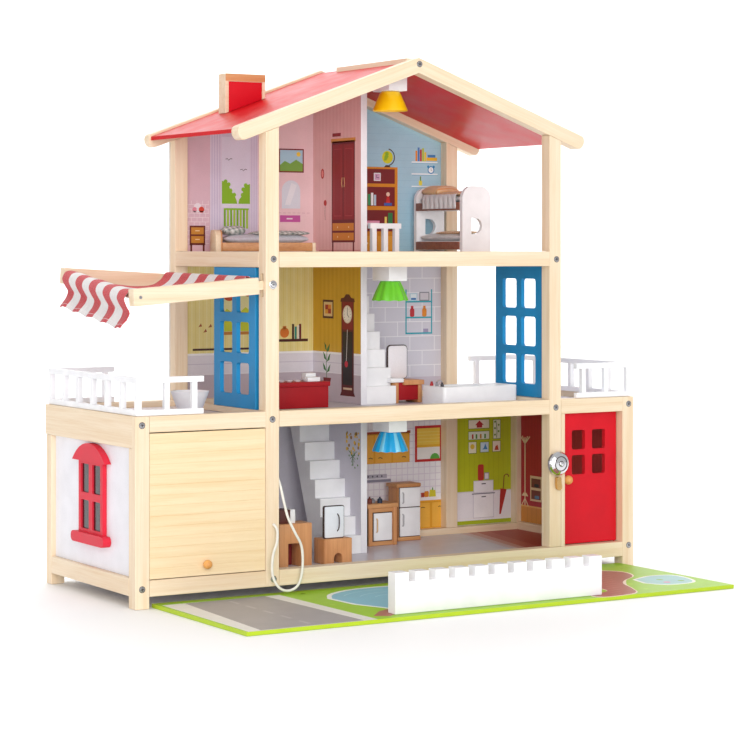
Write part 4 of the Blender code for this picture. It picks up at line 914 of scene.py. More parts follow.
def mat_print():
    """The play mat's garden: a road, a pool, a brick path and a pond on grass."""
    mat = Print("garden_mat_print", "Z", 0.005, 1)
    mat.rect("9CCB1E", 29, -249, 778, -0.5, 2)
    chance = random.Random(11)
    for k in range(46):
        x, y = chance.uniform(215, 768), chance.uniform(-240, -9)
        mat.disc("A9D42C" if k % 2 else "90C01A", x, y, chance.uniform(3, 8), 3, 9)
    mat.shape("E6E4DE", [(33, -10), (205, -10), (212, -249), (31, -249)], 4)
    mat.shape("A29E9F", [(65, -12), (183, -8), (193, -247), (49, -247)], 5)
    for k in range(5):
        mat.shape("B4B0B1", [(121, -24 - k * 46), (126, -24 - k * 46), (126, -50 - k * 46),
                             (121, -50 - k * 46)], 6)
    pool = smooth([(242, -72, 0), (262, -40, 0), (300, -18, 0), (345, -12, 0), (385, -20, 0), (402, -60, 0),
                   (396, -120, 0), (372, -176, 0), (330, -206, 0), (280, -206, 0), (262, -170, 0),
                   (246, -130, 0)], 9.0)
    rim = [(p.x, p.y) for p in pool]
    middle = Vector((325, -110))
    mat.shape("F4F6F4", rim, 5)
    mat.shape("86C4DA", [tuple(middle + (Vector(p) - middle) * 0.93) for p in rim], 6)
    for scale in (0.75, 0.52, 0.30):
        mat.line("A6D8E8", [tuple(middle + (Vector(p) - middle) * scale) for p in rim[3:14]], 2.0, 7)
    path = [(699, -40), (724, -72), (712, -112), (676, -140), (655, -166), (640, -204), (617, -240),
            (562, -247), (556, -225), (598, -206), (606, -160), (630, -122), (664, -98), (672, -60)]
    curve = [(p.x, p.y) for p in smooth([(*p, 0) for p in path], 8.0)]
    middle = Vector((645, -145))
    mat.shape("F0DCC8", [tuple(Vector(p) + (Vector(p) - middle).normalized() * 4.5) for p in curve], 5)
    mat.shape("AC6A5C", curve, 6)
    for k in range(12):
        y = -238 + k * 16
        x = 588 + (k * 10 if k < 9 else 90)
        mat.line("C28A7C", [(x - 8, y), (x + 12, y + 3)], 1.2, 7)
    mat.shape("AC6A5C", [(220, -225), (238, -236), (276, -206), (270, -184), (246, -196)], 5)
    pond = smooth([(690, -140, 0), (733, -122, 0), (768, -134, 0), (764, -180, 0), (744, -206, 0),
                   (700, -204, 0), (682, -176, 0)], 6.0)
    mat.shape("F1EFE4", [(p.x, p.y) for p in pond], 5)
    mat.shape("9CC9C6", [(727 + (p.x - 727) * 0.9, -165 + (p.y + 165) * 0.9) for p in pond], 6)
    for x, y, code in ((722, -160, "7DB32A"), (742, -182, "7DB32A"), (716, -184, "E27BA0")):
        mat.disc(code, x, y, 5, 7, 10)
    mat.done(slot="mat_green")
    return mat


# ---------------------------------------------------------------- fittings on the house
BELL = (0.661, 0.0, 0.1565)


def ring_profile(inner, outer, low, high, inner_high=None):
    """The closed section of a flat ring, which may be higher at its inner edge."""
    return [(inner, low), (outer, low), (outer, high), (inner, inner_high or high), (inner, low)]


def screws():
    """Round cross-head screws, sunk a little into the frame, with painted shade in a dark ring round each
    head and in its cross.
    """
    spots = ((0.200, 0.2367), (0.2018, 0.025), (0.2017, 0.449), (0.662, 0.4477), (0.661, 0.236),
             (0.791, 0.2368), (0.791, 0.031), (0.0095, 0.236), (0.0097, 0.0256), (0.4306, 0.717))
    head = [(0, -0.0004), (0.0036, -0.0004), (0.0040, 0.0000), (0.0036, 0.0005), (0.0020, 0.0007),
            (0, 0.0007)]
    made = Piece("frame_screws")
    for x, z in spots:
        made.turned("steel", head, (x, 0.0, z), "Y", 24)
        # painted shade: a dark ring in the gap round the head
        made.turned("dark", ring_profile(0.0039, 0.0044, -0.0002, 0.0001), (x, 0.0, z), "Y", 24)
        turn = math.radians(20 + 37 * (x * 1000 % 5))
        for k in range(2):
            ahead = Vector((math.cos(turn + k * math.pi / 2), math.sin(turn + k * math.pi / 2)))
            side = Vector((-ahead.y, ahead.x)) * 0.00042
            tip = ahead * 0.0021
            corners = [-tip - side, tip - side, tip + side, -tip + side]
            # painted shade: the cross slots are dark prisms on the head
            made.prism("dark", [(x + c.x, z + c.y) for c in corners], "Y", -0.00078, -0.0003)
    return made.done(slot="bell_chrome")


def awning_bolt():
    """A polished washer and a domed bolt on the front arm, and a screw at its outer end."""
    made = Piece("awning_bolt_head")
    x, z = 0.200, 0.415
    washer = [(0, 0.0012), (0.0058, 0.0012), (0.0058, 0.0020), (0.0052, 0.0024), (0.0036, 0.0024),
              (0.0034, 0.0030), (0.0022, 0.0034), (0, 0.0035)]
    made.turned("chrome", washer, (x, 0.0, z), "Y", 32)
    # painted shade: a dark ring between washer and dome, and a dark hexagon for the socket
    made.turned("dark", ring_profile(0.0033, 0.0038, 0.0024, 0.0026), (x, 0.0, z), "Y", 32)
    made.turned("dark", [(0, 0.0030), (0.0009, 0.0030), (0.0009, 0.0037), (0, 0.0037)], (x, 0.0, z), "Y", 6)
    made.turned("steel", [(0, -0.0022), (0.0024, -0.0022), (0.0022, -0.0016), (0, -0.0014)],
                (0.0087, 0.0, 0.4003), "Y", 20)
    return made.done("awning", "bell_chrome")


def knobs():
    """Turned wooden knobs over the doors' plain ones."""
    ball = [(0, 0.0)] + [(math.sin(t), 1 - math.cos(t)) for t in (math.pi * k / 12 for k in range(1, 12))]
    for name, body, x, z, tip, root, radius in (
            ("garage_knob", "garage_door", 0.1016, 0.052, -0.0105, 0.001, 0.0060),
            ("front_door_knob", "front_door", 0.687, 0.1306, -0.0004, 0.0125, 0.0066)):
        profile = [(r * radius, -(tip - 0.0002) - h * radius) for r, h in ball if h < 1.86]
        profile += [(radius * 0.50, -root), (0, -root)]
        made = Piece(name).turned("knob_wood", profile[::-1], (x, 0.0, z), "Y", 28)
        made.done(body, "natural_wood")


def bell_face():
    """A dark ring and a small boss on the bell's dome."""
    made = Piece("bell_ring")
    made.turned("dark", ring_profile(0.0098, 0.0108, 0.0118, 0.0131, 0.0134), BELL, "Y", 36)
    made.turned("chrome", [(0, 0.0130), (0.0034, 0.0130), (0.0034, 0.0146), (0.0022, 0.0154), (0, 0.0156)],
                BELL, "Y", 24)
    # painted shade: a dark ring where the boss meets the dome
    made.turned("dark", ring_profile(0.0034, 0.0042, 0.0134, 0.0143), BELL, "Y", 24)
    return made.done(slot="bell_chrome")


def chimney_panel():
    """The red panel in the chimney's recess, and the darker band round its top."""
    low, high, border = 0.242, 0.306, 0.005
    left, right = low + border + 0.0003, high - border - 0.0003
    foot = [(x, APEX_Z - 0.0032 - SLOPE * (CENTRE_X - x)) for x in (left, right)]
    outline = foot + [(right, 0.6997), (left, 0.6997)]
    made = Piece("chimney_panel").prism("red", outline, "Y", 0.2158, 0.2169, 0.0003)
    made.prism("brown_x", rectangle((low, 0.7005), (high, 0.7108)), "Y", 0.2147, 0.2150, 0.0001)
    return made.done(slot="red_lacquer")


def window_panes():
    """Dark glossy paint on the floors of the wing window's four panes, each with a painted reflection: a grey
    diagonal streak.
    """
    made = Print("window_panes", "X", 0.0032, -1)
    for y in (109.0, 145.5):
        for z in (88.5, 136.9):
            made.round("pane", y + 0.1, z + 0.1, y + 25.4, z + 38.4, 2, 10)
            # painted reflection: a grey diagonal streak on each pane
            made.shape("pane_painted_reflection", [(y + 3, z + 4), (y + 5, z + 4), (y + 20, z + 34), (y + 15, z + 34)], 12)
    return made.done()


def lamps():
    """Each lamp hangs from a white block under the ceiling."""
    for name, top_z, block, colour, flutes, depth in (
            ("attic_lamp", APEX_Z - GABLE_DROP, 0.0213, "yellow", 0, 0.0),
            ("first_floor_lamp", 0.4442, 0.0267, "green", 10, 0.035),
            ("ground_lamp", 0.2337, 0.0274, "blue", 12, 0.022)):
        low = top_z - block
        made = Piece(f"{name}_block")
        made.box("white", (CENTRE_X - 0.015, 0.055, low), (CENTRE_X + 0.015, 0.100, top_z), 0.0012)
        made.turned("dark", [(0, 0), (0.0016, 0), (0.0016, 0.0008), (0, 0.0008)],
                    (CENTRE_X + 0.0148, 0.0775, low + block * 0.55), "X", 12)
        made.done(slot="white_lacquer")
        centre = (CENTRE_X, 0.0765, low)
        profile = [(0.0, 0.0), (0.0120, 0.0), (0.0136, -0.0010), (0.0152, -0.0040), (0.0205, -0.0160),
                   (0.0246, -0.0262), (0.0249, -0.0274), (0.0241, -0.0272), (0.0234, -0.0250),
                   (0.0195, -0.0150), (0.0143, -0.0040), (0.0125, -0.0022), (0.0, -0.0022)]
        shade_piece = Piece(f"{name}_shade")
        sides, scallop = (120, 0.0005) if flutes else (64, 0.0)
        shade_piece.turned(f"{colour}_shade", profile, centre, "Z", sides, flutes, depth, scallop)
        if name == "ground_lamp":
            pale = shade_piece.look_index("pale_blue_shade")
            for face in shade_piece.mesh.faces:
                spot = face.calc_center_median() - Vector(centre)
                turn = math.atan2(spot.y, spot.x) * 12 / (2 * math.pi) % 2
                if spot.z < -0.001 and 0.6 < turn < 1.15:
                    face.material_index = pale
        shade_piece.done(slot=f"{colour}_plastic", replaces=(name,))


# ---------------------------------------------------------------- loose furniture
BED_CORNER = Vector((0.228, 0.208, 0.0))        # the single bed stands askew, turned about this corner
BED_ANGLE = Matrix.Rotation(math.radians(-20), 4, "Z")
BED_TURN = Matrix.Translation(BED_CORNER) @ BED_ANGLE @ Matrix.Translation(-BED_CORNER)


def single_bed():
    """The attic's low bed: a rounded headboard, side rails and legs of pale wood."""
    made = Piece("single_bed_frame")
    z = 0.4495
    head = [(0.200, z), (0.265, z), (0.265, z + 0.026)] + arc((0.253, z + 0.028), 0.012, 0, 90, 5) \
        + arc((0.212, z + 0.028), 0.012, 90, 180, 5) + [(0.200, z + 0.026)]
    made.prism("wood_y", head, "X", 0.2225, 0.2300, 0.0008)
    made.prism("brown_z", head, "X", 0.2300, 0.2320, 0.0008)
    foot = [(0.200, z), (0.265, z), (0.265, z + 0.022), (0.200, z + 0.022)]
    made.prism("wood_y", foot, "X", 0.3600, 0.3650, 0.0008)
    made.box("brown_x", (0.232, 0.200, z + 0.010), (0.360, 0.204, z + 0.022), 0.0008)
    made.box("brown_x", (0.232, 0.261, z + 0.010), (0.360, 0.265, z + 0.022), 0.0008)
    made.box("wood_x", (0.232, 0.203, z + 0.016), (0.360, 0.262, z + 0.020))
    made.mesh.transform(BED_TURN)
    return made.done(slot="natural_wood")


def pad(name, look, low, high, crown=0.003, pinch=0.12, wrinkle=0.0008, turn=None):
    """A stuffed form: crowned top and bottom, sides that draw in, and creased by soft noise."""
    low, high = Vector(low), Vector(high)
    middle, half = (low + high) / 2, (high - low) / 2
    part = bmesh.new()
    bmesh.ops.create_cube(part, size=2.0)
    bmesh.ops.subdivide_edges(part, edges=part.edges, cuts=11, use_grid_fill=True)
    uv = part.loops.layers.uv.new("cloth")
    for vert in part.verts:
        x, y, z = vert.co
        rim = max(abs(x), abs(y))
        puff = (1 - abs(x) ** 3.5) * (1 - abs(y) ** 3.5)
        tall = 0.42 + 0.58 * puff ** 0.45
        draw = 1 - pinch * rim * (1 - (1 - min(abs(x), abs(y)) ** 2) * 0.8) * 0.5
        round_side = 1 - 0.06 * z * z * rim
        spot = Vector((x * draw * round_side, y * draw * round_side, z * tall))
        spot = Vector(c * h for c, h in zip(spot, half)) + middle
        crease = noise.noise(spot * 95.0) * 0.65 + noise.noise(spot * 240.0 + Vector((7, 3, 1))) * 0.35
        spot.z += crease * wrinkle * (1 if z > -0.5 else 0.0) + crown * puff * (z > 0.5) * 0.3
        vert.co = turn @ spot if turn else spot
    for face in part.faces:
        for loop in face.loops:
            loop[uv].uv = (loop.vert.co.x + loop.vert.co.z * 0.4, loop.vert.co.y + loop.vert.co.z * 0.6)
    made = Piece(name)
    made.take(part, look)
    made = made.done(slot="striped_cotton", sharp=1.4)
    return made


def grid_sheet(name, look, point_at, width, length, rows, columns, thick, body="root", replaces=()):
    """A sheet of cloth from a function of (u, v) in metres, with a real thickness and a UV in metres."""
    mesh = bmesh.new()
    uv = mesh.loops.layers.uv.new("cloth")
    verts = []
    for i in range(rows + 1):
        across = [width * j / columns for j in range(columns + 1)]
        verts.append([mesh.verts.new(point_at(u, length * i / rows)) for u in across])
    for i in range(rows):
        for j in range(columns):
            face = mesh.faces.new((verts[i][j], verts[i][j + 1], verts[i + 1][j + 1], verts[i + 1][j]))
            face.smooth = True
            for loop, (a, b) in zip(face.loops, ((j, i), (j + 1, i), (j + 1, i + 1), (j, i + 1))):
                loop[uv].uv = (width * a / columns, length * b / rows)
    data = bpy.data.meshes.new(name)
    mesh.to_mesh(data)
    mesh.free()
    data.materials.append(LOOKS[look])
    made = bpy.data.objects.new(name, data)
    bpy.context.scene.collection.objects.link(made)
    made.location = ORIGIN
    layer = made.modifiers.new("cloth thickness", "SOLIDIFY")
    layer.thickness = thick
    layer.offset = 0.0
    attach(made, body)
    if replaces:
        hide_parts(*replaces)
    return made


def bedding():
    """Mattresses, pillows and blankets of the two beds."""
    pad("single_bed_mattress", "lilac", (0.2325, 0.2045, 0.4697), (0.3590, 0.2605, 0.4830),
        turn=BED_TURN)
    pad("single_bed_pillow", "checks", (0.2335, 0.2080, 0.4822), (0.2680, 0.2570, 0.4940), 0.004, 0.25,
        turn=BED_TURN)
    pad("single_bed_blanket", "checks", (0.2760, 0.2025, 0.4815), (0.3580, 0.2625, 0.4878), 0.002, 0.05,
        turn=BED_TURN)
    pad("bunk_lower_mattress", "sheet", (0.5925, 0.1440, 0.4745), (0.6375, 0.2590, 0.4850))
    pad("bunk_lower_blanket", "tan", (0.5935, 0.1470, 0.4842), (0.6365, 0.2150, 0.4885), 0.002, 0.05)
    pad("bunk_upper_mattress", "sheet", (0.5925, 0.1440, 0.5315), (0.6375, 0.2590, 0.5415))
    pad("bunk_upper_pillow", "tan", (0.5930, 0.2080, 0.5408), (0.6370, 0.2580, 0.5560), 0.005, 0.25)
    pad("bunk_upper_blanket", "tan", (0.5915, 0.1460, 0.5405), (0.6385, 0.2060, 0.5470), 0.003, 0.08)

    def hanging(u, v):
        """Down over the bed's left side in soft folds, from under the blanket."""
        y = 0.150 + u + 0.0015 * math.sin(v * 160)
        if v < 0.012:
            return (0.6030 - v, y, 0.5432 + 0.0004 * math.sin(u * 300))
        down = v - 0.012
        wave = 0.0022 * math.sin(u * 250 + 0.6) * min(1.0, down / 0.010)
        return (0.5905 - 0.0020 * math.sin(min(1.0, down / 0.004) * math.pi / 2) - abs(wave), y,
                0.5432 - down * 0.97)
    made = grid_sheet("bunk_upper_sheet", "sheet", hanging, 0.090, 0.034, 22, 40, 0.0005)
    made = Piece("bunk_rails")
    for z in (0.4612, 0.5192):
        made.box("dark_wood", (0.5885, 0.1422, z + 0.0005), (0.5908, 0.2606, z + 0.0120), 0.0005)
    return made.done(slot="natural_wood")


def bathtub():
    """A hollow white tub with three taps at its head."""
    low, high = (0.517, 0.072, 0.2390), (0.645, 0.132, 0.2655)
    outer = rounded(low[:2], high[:2], 0.006, 4)
    inner = rounded((low[0] + 0.018, low[1] + 0.006), (high[0] - 0.006, high[1] - 0.006), 0.010, 4)
    made = Piece("bathtub")
    part = bmesh.new()
    levels = [(outer, low[2]), (outer, high[2]), (inner, high[2]), (inner, low[2] + 0.006)]
    rings = [[part.verts.new((x, y, z)) for x, y in outline] for outline, z in levels]
    for ring, after in zip(rings, rings[1:]):
        for i in range(len(ring)):
            j = (i + 1) % len(ring)
            part.faces.new((ring[i], ring[j], after[j], after[i]))
    part.faces.new(rings[0])
    part.faces.new(rings[-1])
    made.take(part, "white", 0.0009)
    for y, code in ((0.088, "3B3A42"), (0.102, "8C8B93"), (0.116, "B0222A")):
        made.turned(code, [(0, 0), (0.0026, 0), (0.0026, 0.003), (0.0017, 0.0036), (0.0017, 0.006),
                           (0, 0.0064)], (0.5245, y, high[2]), "Z", 16)
    made.tube("chrome", [(0.5245, 0.102, 0.2712), (0.5275, 0.102, 0.2735), (0.5315, 0.102, 0.2735),
                         (0.5330, 0.102, 0.2710)], 0.0011, 10)
    return made.done(slot="white_lacquer")


def kitchen_block():
    """The stove and the refrigerator, side by side."""
    z = 0.0272
    stove = Piece("stove")
    stove.box("brown_x", (0.473, 0.2075, z), (0.521, 0.245, z + 0.058), 0.0010)
    stove.box("brown_x", (0.471, 0.205, z + 0.055), (0.523, 0.2455, z + 0.0615), 0.0010)
    for x in (0.473, 0.515):
        stove.box("brown_z", (x, 0.205, z), (x + 0.006, 0.212, z + 0.056))
    # painted shade: a dark plate behind the oven door, showing as a margin round it
    stove.box("dark", (0.4800, 0.2062, z + 0.0065), (0.5135, 0.2080, z + 0.0490), 0.0004)
    stove.box("white", (0.4812, 0.2045, z + 0.0078), (0.5122, 0.2074, z + 0.0478), 0.0008)
    stove.tube("D9B48A", [(0.4858, 0.2046, z + 0.020), (0.4858, 0.2024, z + 0.022),
                          (0.4858, 0.2024, z + 0.038), (0.4858, 0.2046, z + 0.040)], 0.0011)
    for x, y, look, radius, tall in ((0.481, 0.217, "7A3A2E", 0.0034, 0.010),
                                     (0.489, 0.222, "8A8B93", 0.0040, 0.007),
                                     (0.498, 0.216, "2E3A52", 0.0036, 0.009)):
        stove.turned(look, [(0, 0), (radius, 0), (radius * 1.05, tall * 0.6), (radius * 0.8, tall * 0.7),
                            (radius * 0.35, tall * 0.8), (radius * 0.4, tall), (0, tall * 1.02)],
                     (x, y, z + 0.0615), "Z", 18)
    stove.done(slot="natural_wood")
    cold = Piece("refrigerator")
    cold.box("brown_z", (0.5435, 0.2385, z), (0.5805, 0.2665, z + 0.080), 0.0008)
    cold.box("brown_x", (0.540, 0.236, z + 0.0795), (0.5825, 0.2675, z + 0.0850), 0.0010)
    cold.box("brown_x", (0.542, 0.236, z), (0.5820, 0.2670, z + 0.0055), 0.0008)
    # painted shade: a dark plate behind the doors, showing round and between them
    cold.box("dark", (0.5445, 0.2375, z + 0.0055), (0.5812, 0.2390, z + 0.0795), 0.0003)
    for low, high in ((0.0065, 0.0490), (0.0502, 0.0788)):
        cold.box("white", (0.5455, 0.2355, z + low), (0.5808, 0.2388, z + high), 0.0010)
    for low, high in ((0.022, 0.040), (0.056, 0.072)):
        cold.tube("BDBCC2", [(0.5500, 0.2357, z + low), (0.5500, 0.2330, z + low + 0.002),
                             (0.5500, 0.2330, z + high - 0.002), (0.5500, 0.2357, z + high)], 0.0011)
    return cold.done(slot="white_lacquer")


def arch_block(name, low, high, opening, round_top):
    """A wooden block with a doorway cut right through its front."""
    (x0, x1, top), z = opening, low[2]
    made = Piece(name)
    outline = [(low[0], z), (x0, z)]
    if round_top:
        radius = (x1 - x0) / 2
        outline += arc(((x0 + x1) / 2, top - radius), radius, 180, 0, 12)
    else:
        outline += [(x0, top), (x1, top)]
    outline += [(x1, z), (high[0], z), (high[0], high[2]), (low[0], high[2])]
    made.prism("brown_z", outline, "Y", low[1], high[1], 0.0009)
    return made


def ground_blocks():
    """A washstand and a chair in front of the stairs, made from solid blocks."""
    made = arch_block("washstand", (0.248, 0.068, 0.0272), (0.299, 0.100, 0.087), (0.262, 0.283, 0.060),
                      False)
    made.box("7A1D20", (0.2625, 0.096, 0.0275), (0.2825, 0.0985, 0.0595), 0.0)
    made.box("5A2A22", (0.252, 0.074, 0.0872), (0.268, 0.096, 0.1060))
    made.box("white", (0.2685, 0.074, 0.0872), (0.2760, 0.096, 0.1060))
    made.done(slot="natural_wood")
    made = arch_block("chair", (0.320, 0.070, 0.0272), (0.364, 0.100, 0.062), (0.3355, 0.3485, 0.042), True)
    made.prism("dark", rounded((0.3215, 0.0622), (0.3545, 0.1075), 0.003), "Y", 0.0752, 0.0790, 0.0005)
    made.prism("E4E8F0", rounded((0.3228, 0.0634), (0.3532, 0.1063), 0.0022), "Y", 0.0740, 0.0760, 0.0005)
    made.tube("dark", smooth([(0.3425, 0.0742, 0.0720), (0.3440, 0.0722, 0.0760), (0.3445, 0.0718, 0.0850),
                              (0.3440, 0.0722, 0.0930), (0.3425, 0.0742, 0.0960)], 0.002), 0.0008)
    return made.done(slot="natural_wood")


def dining_furniture():
    """The dark-red table with its small dishes, the vanity and its seat."""
    z = 0.2392
    made = Piece("dining_table")
    made.box("dark_red", (0.283, 0.133, z), (0.363, 0.170, z + 0.032), 0.0010)
    made.box("dark_red", (0.281, 0.131, z + 0.030), (0.365, 0.172, z + 0.0368), 0.0012)
    top = z + 0.0368
    for x in (0.292, 0.305, 0.318):
        made.turned("white", [(0, 0), (0.0030, 0), (0.0052, 0.0022), (0.0046, 0.0024), (0.0028, 0.0010),
                              (0, 0.0010)], (x, 0.143, top), "Z", 20)
    made.box("white", (0.331, 0.136, top), (0.351, 0.150, top + 0.0060))
    made.box("white", (0.337, 0.152, top), (0.353, 0.166, top + 0.0110))
    made.done(slot="red_lacquer")
    made = Piece("vanity")
    for x in (0.487, 0.527):
        made.box("brown_z", (x, 0.155, z), (x + 0.006, 0.192, z + 0.030), 0.0008)
    made.box("dark_red", (0.492, 0.157, z + 0.004), (0.528, 0.191, z + 0.031), 0.0010)
    made.box("white", (0.478, 0.152, z + 0.0300), (0.500, 0.194, z + 0.0360), 0.0010)
    made.box("brown_z", (0.5005, 0.152, z + 0.026), (0.5350, 0.194, z + 0.0330), 0.0008)
    made.prism("dark", rounded((0.4950, z + 0.033), (0.5300, z + 0.083), 0.006), "Y", 0.1905, 0.1935, 0.0006)
    made.prism("EDE9EE", rounded((0.4966, z + 0.034), (0.5284, z + 0.0815), 0.005), "Y", 0.1893, 0.1915,
               0.0004)
    made.prism("3FA7C4", rectangle((0.158, z + 0.007), (0.184, z + 0.026)), "X", 0.5281, 0.5286, 0.0)
    made.done(slot="red_lacquer")
    made = Piece("terrace_basin")
    made.turned("white", [(0, 0.0), (0.0130, 0.0), (0.0145, 0.0012), (0.0255, 0.0300), (0.0260, 0.0322),
                          (0.0246, 0.0322), (0.0235, 0.0300), (0.0140, 0.0050), (0, 0.0045)],
                (0.129, 0.102, z), "Z", 56)
    return made.done(slot="white_lacquer")


# ---------------------------------------------------------------- cord and awning
CORD_ROUTE = ((0.2002, -0.0016, 0.0974), (0.2004, -0.0046, 0.0970), (0.2030, -0.0075, 0.0895),
              (0.2013, -0.0095, 0.0746), (0.1955, -0.0110, 0.0612), (0.1928, -0.0120, 0.0474),
              (0.1932, -0.0125, 0.0330), (0.1985, -0.0125, 0.0205), (0.2080, -0.0120, 0.0120),
              (0.2200, -0.0115, 0.0100), (0.2315, -0.0110, 0.0150), (0.2380, -0.0100, 0.0270),
              (0.2408, -0.0090, 0.0479), (0.2390, -0.0080, 0.0683), (0.2300, -0.0068, 0.0860),
              (0.2205, -0.0055, 0.1058), (0.2150, -0.0035, 0.1283), (0.2134, 0.0010, 0.1440),
              (0.2130, 0.0060, 0.1530), (0.2125, 0.0100, 0.1600))
CORD_RADIUS = 0.0018
AWNING_BOLT = (0.200, 0.415)
AWNING_FRONT = (0.2015, math.radians(4.4))      # bolt to an arm's outer end, and how far it droops
AWNING_BACK = (0.1800, math.radians(-3.3))
CLOTH_ROUTE = ((0.0205, 0.0065), (0.0225, 0.0113), (0.0265, 0.0131), (0.0310, 0.0110), (0.0390, 0.0019),
               (0.0520, -0.0055), (0.0720, -0.0095), (0.0980, -0.0102), (0.1260, -0.0083),
               (0.1540, -0.0035), (0.1760, 0.0021), (0.1900, 0.0068), (0.1990, 0.0077), (0.2060, 0.0052),
               (0.2100, -0.0023), (0.2085, -0.0085), (0.2050, -0.0145), (0.2015, -0.0205),
               (0.2040, -0.0290), (0.2090, -0.0360), (0.2135, -0.0420))
CLOTH_Y = (0.0215, 0.2680)


def cloth_spot(arm, distance, height):
    """A point of the cloth's section by one arm, from how far out it is and its height over the arm."""
    bar = arm[0] - 0.010
    out = distance * bar / 0.196 if distance < 0.196 else distance - 0.196 + bar
    return (AWNING_BOLT[0] - out, 0.0, AWNING_BOLT[1] - min(out, bar) * math.tan(arm[1]) + height)


CLOTH_EDGES = [smooth([cloth_spot(arm, *spot) for spot in CLOTH_ROUTE], 0.0005)
               for arm in (AWNING_FRONT, AWNING_BACK)]


def run_of(points):
    """The distance along a line of points to each of them."""
    runs = [0.0]
    for a, b in zip(points, points[1:]):
        runs.append(runs[-1] + (b - a).length)
    return runs


CLOTH_LENGTH = round((run_of(CLOTH_EDGES[0])[-1] + run_of(CLOTH_EDGES[1])[-1]) / 2, 4)


def pull_cord():
    """A twisted three-strand cord, looped at the garage's post."""
    points = smooth(CORD_ROUTE, 0.0011)
    part = bmesh.new()
    sides = 18
    rings = []
    side = Vector((1, 0, 0))
    run = 0.0
    for i, point in enumerate(points):
        ahead = (points[min(i + 1, len(points) - 1)] - points[max(i - 1, 0)]).normalized()
        side = (side - ahead * side.dot(ahead)).normalized()
        other = ahead.cross(side)
        run += (point - points[i - 1]).length if i else 0.0
        twist = run * 2 * math.pi / 0.011
        ring = []
        for k in range(sides):
            t = 2 * math.pi * k / sides
            radius = CORD_RADIUS * (0.90 + 0.10 * abs(math.cos(1.5 * (t - twist))) ** 0.6)
            ring.append(part.verts.new(point + (side * math.cos(t) + other * math.sin(t)) * radius))
        rings.append(ring)
    for ring, after in zip(rings, rings[1:]):
        for k in range(sides):
            part.faces.new((ring[k], ring[(k + 1) % sides], after[(k + 1) % sides], after[k]))
    part.faces.new(rings[0])
    part.faces.new(rings[-1])
    made = Piece("cotton_cord").take(part, "rope").done(slot="cotton_cord", replaces=("pull_cord",))
    tuple(ORIGIN + points[0])
    [tuple(ORIGIN + p) for p in points]
    return made


def on_line(points, runs, share):
    """The point a share of the way along a line, and the direction there."""
    far = share * runs[-1]
    i = 1
    while i < len(runs) - 1 and runs[i] < far:
        i += 1
    part = (far - runs[i - 1]) / (runs[i] - runs[i - 1])
    return points[i - 1].lerp(points[i], min(1.0, part)), (points[i] - points[i - 1]).normalized()


def awning_cloth():
    """The striped cloth over two racked arms, sagging between the bars, with a waving free edge."""
    width = CLOTH_Y[1] - CLOTH_Y[0]
    edges = [(points, run_of(points)) for points in CLOTH_EDGES]
    hem = 0.205

    def point_at(u, v):
        ends = [on_line(points, runs, v / CLOTH_LENGTH) for points, runs in edges]
        spot = ends[0][0].lerp(ends[1][0], u / width)
        ahead = ends[0][1].lerp(ends[1][1], u / width)
        outward = Vector((-ahead.z, 0.0, ahead.x)).normalized()
        free = max(0.0, (v - hem) / (CLOTH_LENGTH - hem))
        wave = math.sin(u * 2 * math.pi / 0.056 + 0.8) * 0.0022 + math.sin(u * 2 * math.pi / 0.031) * 0.0008
        span = math.sin(math.pi * min(1.0, max(0.0, (v - 0.014) / 0.178)))
        pulls = 0.0011 * math.sin(u * 2 * math.pi / 0.083 + v * 25)
        pulls += 0.0005 * noise.noise(Vector((u * 90, v * 60, 2)))
        spot = spot - outward * (abs(wave + 0.0020) * free ** 1.2 * 0.8 + pulls * span)
        spot.z -= 0.0016 * span * math.sin(math.pi * u / width) ** 0.7
        spot.z += 0.0010 * free * math.sin(u * 2 * math.pi / 0.056 + 2.2)
        return (spot.x, CLOTH_Y[0] + u, spot.z)
    made = grid_sheet("awning_cloth", "stripes", point_at, width, CLOTH_LENGTH, 150, 110, 0.0006, "awning",
                      ("awning_fabric",))
    return made


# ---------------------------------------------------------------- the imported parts' materials
def dress_parts():
    """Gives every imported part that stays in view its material."""
    by_look = {
        "wood_x": "front_sill back_sill first_floor_rail_front first_floor_rail_back attic_rail_front "
                  "attic_rail_back awning_frame chimney",
        "wood_y": "attic_rail_left attic_rail_right threshold_left threshold_right bottom_side_rail_left "
                  "bottom_side_rail_right side_board_left side_board_right ridge_beam",
        "wood_z": "main_post_front_left main_post_front_right main_post_back_left main_post_back_right "
                  "wing_post_front_left wing_post_front_right wing_post_back_left wing_post_back_right "
                  "front_door_jamb",
        "gable": "front_gable_board back_gable_board",
        "door_wood": "garage_door",
        "red": "front_door",
        "window_red": "side_window",
        "roof_red": "roof_panel_left roof_panel_right",
        "blue": "french_door_left french_door_right",
        "white": "left_terrace_railing right_terrace_railing attic_railing ground_stairs first_floor_stairs "
                 "bunk_bed garden_fence",
        "board": "attic_partition first_floor_partition ground_partition garage_partition left_side_wall "
                 "right_side_wall",
        "back_board": "back_wall",
        "floor": "ground_floor first_floor",
        "attic_floor": "attic_floor",
        "chrome": "bell_dome",
        "brass": "bell_lever",
        "mat_edge": "garden_mat",
    }
    for look, names in by_look.items():
        for name in names.split():
            node = NODES[name]
            for slot in node.material_slots:
                slot.link = "DATA"
                slot.material = LOOKS[look]


# ---------------------------------------------------------------- camera, floor and light
CAMERA_SPOT = (-1.6650, -2.7097, 0.4624)
CAMERA_TURN = math.radians(-31.36)      # level, and turned this far about the upright axis


def camera():
    data = bpy.data.cameras.new("camera")
    data.lens = 110.98
    data.sensor_width = 36.0
    data.shift_x = -0.0073
    data.shift_y = -0.168
    data.clip_end = 50.0
    made = bpy.data.objects.new("camera", data)
    bpy.context.scene.collection.objects.link(made)
    made.location = CAMERA_SPOT
    made.rotation_euler = (math.radians(90), 0.0, CAMERA_TURN)
    bpy.context.scene.camera = made


